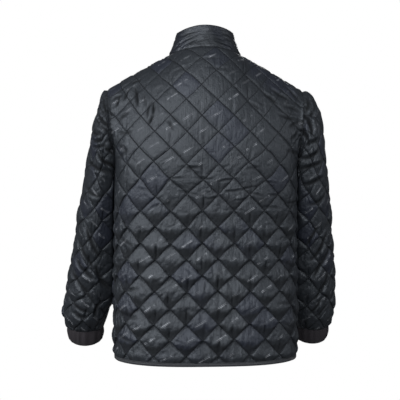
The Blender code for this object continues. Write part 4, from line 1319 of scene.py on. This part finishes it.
def make_cuff(side, seam):
    """A gathered tube of rib knit, folded round at its end. Seam, the sleeve's last ring of points, is not
    used.
    """
    name = "right" if side > 0 else "left"
    flip = np.array([side, 1, 1])
    stations = 384
    gathers = 17
    around = np.arange(stations) / stations
    angles = math.pi + 2 * math.pi * np.arange(stations) / stations
    left = 1.0 if side < 0 else 0.0
    last = Ring(*(np.array(float(value)) for value in SLEEVE[-1]))
    end = Ring(*(np.array(float(value)) for value in CUFF_END))
    top, bottom = (ring_points(ring, angles, left).reshape(stations, 3) for ring in (last, end))
    top = top - np.array([0, 0, SEAM_GAP])
    # Round the wall: down its outside, round the fold and up its inside.
    down = np.linspace(0, 1, 13)
    profile = [(-0.14, 0.45), *((0.03 + 0.92 * s, 0.0) for s in down), (0.98, 0.18), (1.0, 0.5), (0.98, 0.82)]
    profile += [*((0.95 - 0.92 * s, 1.0) for s in down[::2]), (-0.14, 0.8)]
    centres = ((top + bottom) / 2).mean(axis=0)
    sections = np.empty((stations, len(profile), 3))
    dice = np.random.default_rng(500 + side)
    girth = float(np.linalg.norm(np.diff(top, axis=0), axis=1).sum())
    ribs = round(girth / RIB_GAP)
    rib = 0.00035 * np.cos(2 * math.pi * ribs * np.arange(stations) / stations)
    folds = np.cumsum(0.6 + 0.8 * dice.random(gathers))
    phase = np.interp(around, np.linspace(0, 1, gathers + 1), np.concatenate([[0], folds]))
    phase *= gathers / folds[-1]
    broad = np.cos(2 * math.pi * phase)
    for k, (drop, depth) in enumerate(profile):
        points = top + (bottom - top) * drop
        out = unit((points - centres) * np.array([1, 1, 0]))
        swell = 0.0014 * math.sin(math.pi * min(drop, 1.0))
        rise = swell + 0.0013 * broad * math.sin(math.pi * (0.12 + 0.8 * drop)) + rib - 0.0008
        sections[:, k] = points + out * (rise - 0.0027 * depth)[:, None]
    u = np.arange(stations + 1) / stations * ribs
    v = np.concatenate([[0], np.cumsum(np.linalg.norm(np.diff(sections[0], axis=0), axis=1))]) / MM
    v = np.append(v, v[-1] + 1)
    uvs = np.stack(np.meshgrid(u, v, indexing="ij"), axis=-1)
    knit = bpy.data.materials.get("rib_knit") or rib_knit_wool(bpy.context.scene.jacket_colours)
    piece = swept(f"cuff_{name}_knit", sections * flip, uvs, knit, True)
    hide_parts(f"cuff_{name}")


def make_hem():
    """The binding that closes the hem, one strip folded over it from the zip round to the zip."""
    shares = np.linspace(0, 1, 161)
    turns = np.concatenate([chest_turns(1, shares)[0][::-1], chest_turns(-1, shares)[0][1:]])
    bottoms = hem_heights(turns)
    ahead, behind = torso_points(turns + 1e-3, bottoms), torso_points(turns - 1e-3, bottoms)
    out = unit(np.cross(ahead - behind, (0, 0, 1)))
    out[-1] = (0, -1, 0)
    middle = torso_points(turns, bottoms) - out * WALL / 2
    # The strip's section, out from its middle and up from the hem, in millimetres: folded edges at the top.
    section = [
        (2.2, 9.0), (2.5, 8.6), (2.45, 7.4), (2.1, 6.9), (2.45, 6.3), (2.55, 4.0), (2.4, 2.0), (1.9, 0.8),
        (1.0, 0.15), (0.0, 0.0), (-1.0, 0.15), (-1.9, 0.8), (-2.4, 2.0), (-2.5, 5.0), (-2.4, 8.6),
        (-2.1, 9.0),
    ]
    half = np.empty((len(turns), len(section), 3))
    place = np.linspace(0, 40, len(turns))
    wander = 0.35 * noise(place, 3.3, 71) + 0.2 * noise(place * 3.1, 7.7, 72)
    for k, (away, up) in enumerate(section):
        half[:, k] = middle + out * ((away + wander * (away > 0)) * MM)[:, None]
        half[:, k, 2] += up * MM
    half[0, :, 0] = ZIP_EDGE
    sections = np.concatenate([half, (half * np.array([-1, 1, 1]))[::-1][1:]])
    along = arc_lengths(sections[:, 5]) / MM
    round_it = np.array([9.0 - up if away > 0 else 9.0 + up for away, up in section] + [19.0])
    uvs = np.stack(np.meshgrid(along, round_it, indexing="ij"), axis=-1)
    piece = swept(
        "hem_binding_strip", sections, uvs, woven_binding(bpy.context.scene.jacket_colours), False
    )
    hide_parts("hem_binding")


def zip_line():
    """The cloth's outer surface beside the zip, from hem to collar top: points and normals in Y and Z."""
    low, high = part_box("zip_tape_right")
    tape = np.array([v.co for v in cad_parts["zip_tape_right"].data.vertices])
    face = tape[tape[:, 0] < (low.x + high.x) / 2]
    heights = np.unique(np.round(face[:, 2], 6))
    depths = [face[np.abs(face[:, 2] - height) < 2e-4, 1].max() for height in heights[:-1]]
    even = np.arange(low.z + 0.0005, high.z - 0.0005, 0.004)
    y = np.interp(even, heights[:-1], depths)
    kernel = np.ones(5) / 5
    y = np.convolve(np.pad(y, 2, mode="edge"), kernel, mode="valid")
    line = np.column_stack([y, even])
    along = unit(np.gradient(line, axis=0))
    return line, np.stack([along[:, 1], -along[:, 0]], axis=1)


def make_zip():
    """Both tapes, one tooth copied up each side of the chain, and the metal of the slider and its tab."""
    colours = bpy.context.scene.jacket_colours
    teeth_material, tape_material, metal = moulded_teeth(colours), twill_tape(colours), plated_zinc(colours)
    line, normals = zip_line()
    for side, name in ((1, "right"), (-1, "left")):
        # A thin strip with a beaded inner edge, which the teeth grip.
        section = [
            (8.0, -0.35), (7.2, -0.1), (5.0, 0.05), (3.6, 0.0), (2.6, 0.2), (1.9, 0.0), (1.6, -0.5),
            (0.1, -0.85), (0.1, -1.15), (1.7, -1.3), (2.6, -1.35), (3.6, -1.15), (5.0, -1.1), (8.0, -1.2),
        ]
        sections = np.empty((len(line), len(section), 3))
        for k, (across, rise) in enumerate(section):
            sections[:, k, 0] = side * across * MM
            sections[:, k, 1:] = line + normals * (rise * MM)
        length = arc_lengths(line)
        uvs = np.stack(np.meshgrid(length / MM, np.arange(len(section) + 1.0), indexing="ij"), axis=-1)
        piece = swept(f"zip_tape_{name}_twill", sections, uvs, tape_material, False)
        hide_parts(f"zip_tape_{name}")
    make_teeth(line, normals, teeth_material)
    for name in ("zip_slider", "zip_pull"):
        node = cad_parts[name]
        node.data.materials.clear()
        node.data.materials.append(metal)


def make_teeth(line, normals, material):
    """One tooth, modelled once and copied up both sides of the closed chain, each side half a pitch on."""
    bpy.ops.object.select_all(action="DESELECT")
    bpy.ops.mesh.primitive_cube_add(size=1, location=(0, 0, 0))
    tooth = bpy.context.object
    tooth.name = "zip_tooth"
    bpy.ops.object.mode_set(mode="EDIT")
    bpy.ops.mesh.select_all(action="SELECT")
    bpy.ops.transform.resize(value=(0.0032, 0.0022, 0.0013))
    bpy.ops.mesh.bevel(offset=0.00035, segments=1, affect="EDGES")
    bpy.ops.object.mode_set(mode="OBJECT")
    shape = np.array([v.co for v in tooth.data.vertices])
    # The head is broader than its neck, so that neighbours lock.
    shape[:, 2] *= np.where(shape[:, 0] < 0, 1.15, 0.8)
    faces = np.array([len(p.vertices) for p in tooth.data.polygons])
    loops = np.array([i for p in tooth.data.polygons for i in p.vertices])
    bpy.data.objects.remove(tooth)
    lengths = arc_lengths(line)
    top = SLIDER_HEIGHT + SLIDER_LENGTH / 2 - 0.0036
    end = float(np.interp(top, line[:, 1], lengths)) - 0.0012
    points, polygons = [], []
    starts = np.concatenate([[0], np.cumsum(faces)])
    for side in (1, -1):
        for place in np.arange(0.004 + (side < 0) * TOOTH_PITCH / 2, end, TOOTH_PITCH):
            y, z, ny, nz = (np.interp(place, lengths, values) for values in (*line.T, *normals.T))
            placed = np.empty(shape.shape)
            placed[:, 0] = side * (shape[:, 0] + 0.00085)
            placed[:, 1] = y + shape[:, 1] * ny - shape[:, 2] * nz - 0.00055 * ny
            placed[:, 2] = z + shape[:, 1] * nz + shape[:, 2] * ny - 0.00055 * nz
            first = len(points) * len(shape)
            points.append(placed)
            for k in range(len(faces)):
                face = (loops[starts[k] : starts[k + 1]] + first).tolist()
                polygons.append(face if side > 0 else face[::-1])
    points = np.concatenate(points)
    corners = np.zeros((sum(len(face) for face in polygons), 2))
    piece = finish_mesh(
        "zip_teeth", points, polygons, corners, [material], [0] * len(polygons), "garment"
    )
    piece.data.shade_flat()
    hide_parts("zip_chain")


# ---------------------------------------------------------------- stage


def area_light(name, place, target, size, power, colour):
    data = bpy.data.lights.new(name, "AREA")
    data.shape, data.size, data.size_y = "RECTANGLE", size[0], size[1]
    data.energy = power
    data.color = colour
    light = bpy.data.objects.new(name, data)
    bpy.context.scene.collection.objects.link(light)
    light.location = place
    away = np.array(place, float) - np.array(target, float)
    light.rotation_euler = (
        math.atan2(math.hypot(away[0], away[1]), away[2]), 0, math.atan2(away[1], away[0]) + math.pi / 2
    )


def make_stage():
    """Floor, soft lights, white surroundings and the camera."""
    scene, stage = bpy.context.scene, bpy.context.scene.jacket_stage
    bpy.ops.object.select_all(action="DESELECT")
    bpy.ops.mesh.primitive_circle_add(vertices=96, radius=3.2, fill_type="NGON", location=(0, 0, stage.floor))
    floor = bpy.context.object
    floor.name = "floor"
    bpy.ops.object.transform_apply(location=True)
    floor.data.materials.append(matt_paper("studio_paper", linear("f4f4f4")))
    floor.visible_diffuse = floor.visible_glossy = False
    middle = (0, 0, -0.34)
    for name, place, size, power, hue in (
        ("key", (-1.3, -4.8, 1.62), (4.6, 4.2), stage.key, (0.96, 0.98, 1.0)),
        ("top", (-0.2, -1.4, 4.2), (2.4, 1.6), stage.top, (0.95, 0.98, 1.0)),
        ("fill", (-4.0, -1.8, 1.0), (1.6, 2.4), stage.fill, (0.95, 0.97, 1.0)),
        ("side", (4.0, -1.8, 0.8), (1.4, 2.0), stage.fill * 0.4, (0.95, 0.97, 1.0)),
        ("front", (0.5, 2.7, 0.35), (1.4, 1.4), stage.front, (0.98, 0.99, 1.0)),
    ):
        area_light(f"{name}_light", place, middle, size, power, hue)
    world = bpy.data.worlds.new("studio")
    world.use_nodes = True
    tree = world.node_tree
    seen = add_node(tree, "ShaderNodeLightPath").outputs["Is Camera Ray"]
    dim = add_node(tree, "ShaderNodeBackground", {"Color": (0.92, 0.95, 1.0, 1), "Strength": 0.10})
    white = add_node(tree, "ShaderNodeBackground", {"Color": (1, 1, 1, 1), "Strength": 1.0})
    mix = add_node(tree, "ShaderNodeMixShader", {0: seen, 1: dim.outputs[0], 2: white.outputs[0]})
    tree.links.new(mix.outputs[0], tree.nodes["World Output"].inputs["Surface"])
    scene.world = world
    scene.view_settings.view_transform = "Standard"

    data = bpy.data.cameras.new("camera")
    data.sensor_width = 36
    data.lens = 18 / (stage.view_width / 2 / stage.distance)
    camera = bpy.data.objects.new("camera", data)
    scene.collection.objects.link(camera)
    back = (-math.sin(-stage.turn), -math.cos(stage.turn))
    camera.location = (
        back[0] * stage.distance - math.cos(stage.turn) * stage.aside,
        back[1] * stage.distance - math.sin(stage.turn) * stage.aside,
        stage.height,
    )
    camera.rotation_euler = (math.pi / 2, 0, stage.turn)
    scene.camera = camera


# ---------------------------------------------------------------- add-on


class JACKET_OT_body(bpy.types.Operator):
    """Builds the quilted back and both fronts"""

    bl_idname = "jacket.body"
    bl_label = "Back and fronts"

    def execute(self, context):
        make_body()
        return {"FINISHED"}


class JACKET_OT_sleeves(bpy.types.Operator):
    """Builds both quilted sleeves and their knitted cuffs"""

    bl_idname = "jacket.sleeves"
    bl_label = "Sleeves and cuffs"

    def execute(self, context):
        for side in (1, -1):
            make_cuff(side, make_sleeve(side))
        return {"FINISHED"}


class JACKET_OT_collar(bpy.types.Operator):
    """Builds the standing collar"""

    bl_idname = "jacket.collar"
    bl_label = "Collar"

    def execute(self, context):
        make_collar()
        return {"FINISHED"}


class JACKET_OT_hem(bpy.types.Operator):
    """Builds the binding round the hem"""

    bl_idname = "jacket.hem"
    bl_label = "Hem binding"

    def execute(self, context):
        make_hem()
        return {"FINISHED"}


class JACKET_OT_zip(bpy.types.Operator):
    """Builds the zip's tapes and teeth, and finishes its metal"""

    bl_idname = "jacket.zip"
    bl_label = "Zip"

    def execute(self, context):
        make_zip()
        return {"FINISHED"}


class JACKET_OT_stage(bpy.types.Operator):
    """Builds the floor, the lights and the camera"""

    bl_idname = "jacket.stage"
    bl_label = "Stage"

    def execute(self, context):
        make_stage()
        return {"FINISHED"}


OPERATORS = (
    JACKET_OT_stage, JACKET_OT_body, JACKET_OT_sleeves, JACKET_OT_collar, JACKET_OT_hem, JACKET_OT_zip,
)
GROUPS = (JacketQuilt, JacketColours, JacketStage)
SETTINGS = ("jacket_quilt", "jacket_colours", "jacket_stage")


class JACKET_PT_panel(bpy.types.Panel):
    """Lists the jacket's settings and pieces"""

    bl_label = "Quilted jacket"
    bl_idname = "JACKET_PT_panel"
    bl_space_type = "VIEW_3D"
    bl_region_type = "UI"
    bl_category = "Quilted jacket"

    def draw(self, context):
        for group, name in zip(GROUPS, SETTINGS):
            box = self.layout.box()
            for field in group.__annotations__:
                box.prop(getattr(context.scene, name), field)
        for operator in OPERATORS:
            self.layout.operator(operator.bl_idname)


def register():
    for kind in (*GROUPS, *OPERATORS, JACKET_PT_panel):
        bpy.utils.register_class(kind)
    for group, name in zip(GROUPS, SETTINGS):
        setattr(bpy.types.Scene, name, PointerProperty(type=group))


def unregister():
    for name in SETTINGS:
        delattr(bpy.types.Scene, name)
    for kind in reversed((*GROUPS, *OPERATORS, JACKET_PT_panel)):
        bpy.utils.unregister_class(kind)


def main():
    register()
    bpy.ops.jacket.stage()
    bpy.ops.jacket.body()
    bpy.ops.jacket.sleeves()
    bpy.ops.jacket.collar()
    bpy.ops.jacket.hem()
    bpy.ops.jacket.zip()


if __name__ == "__main__":
    main()
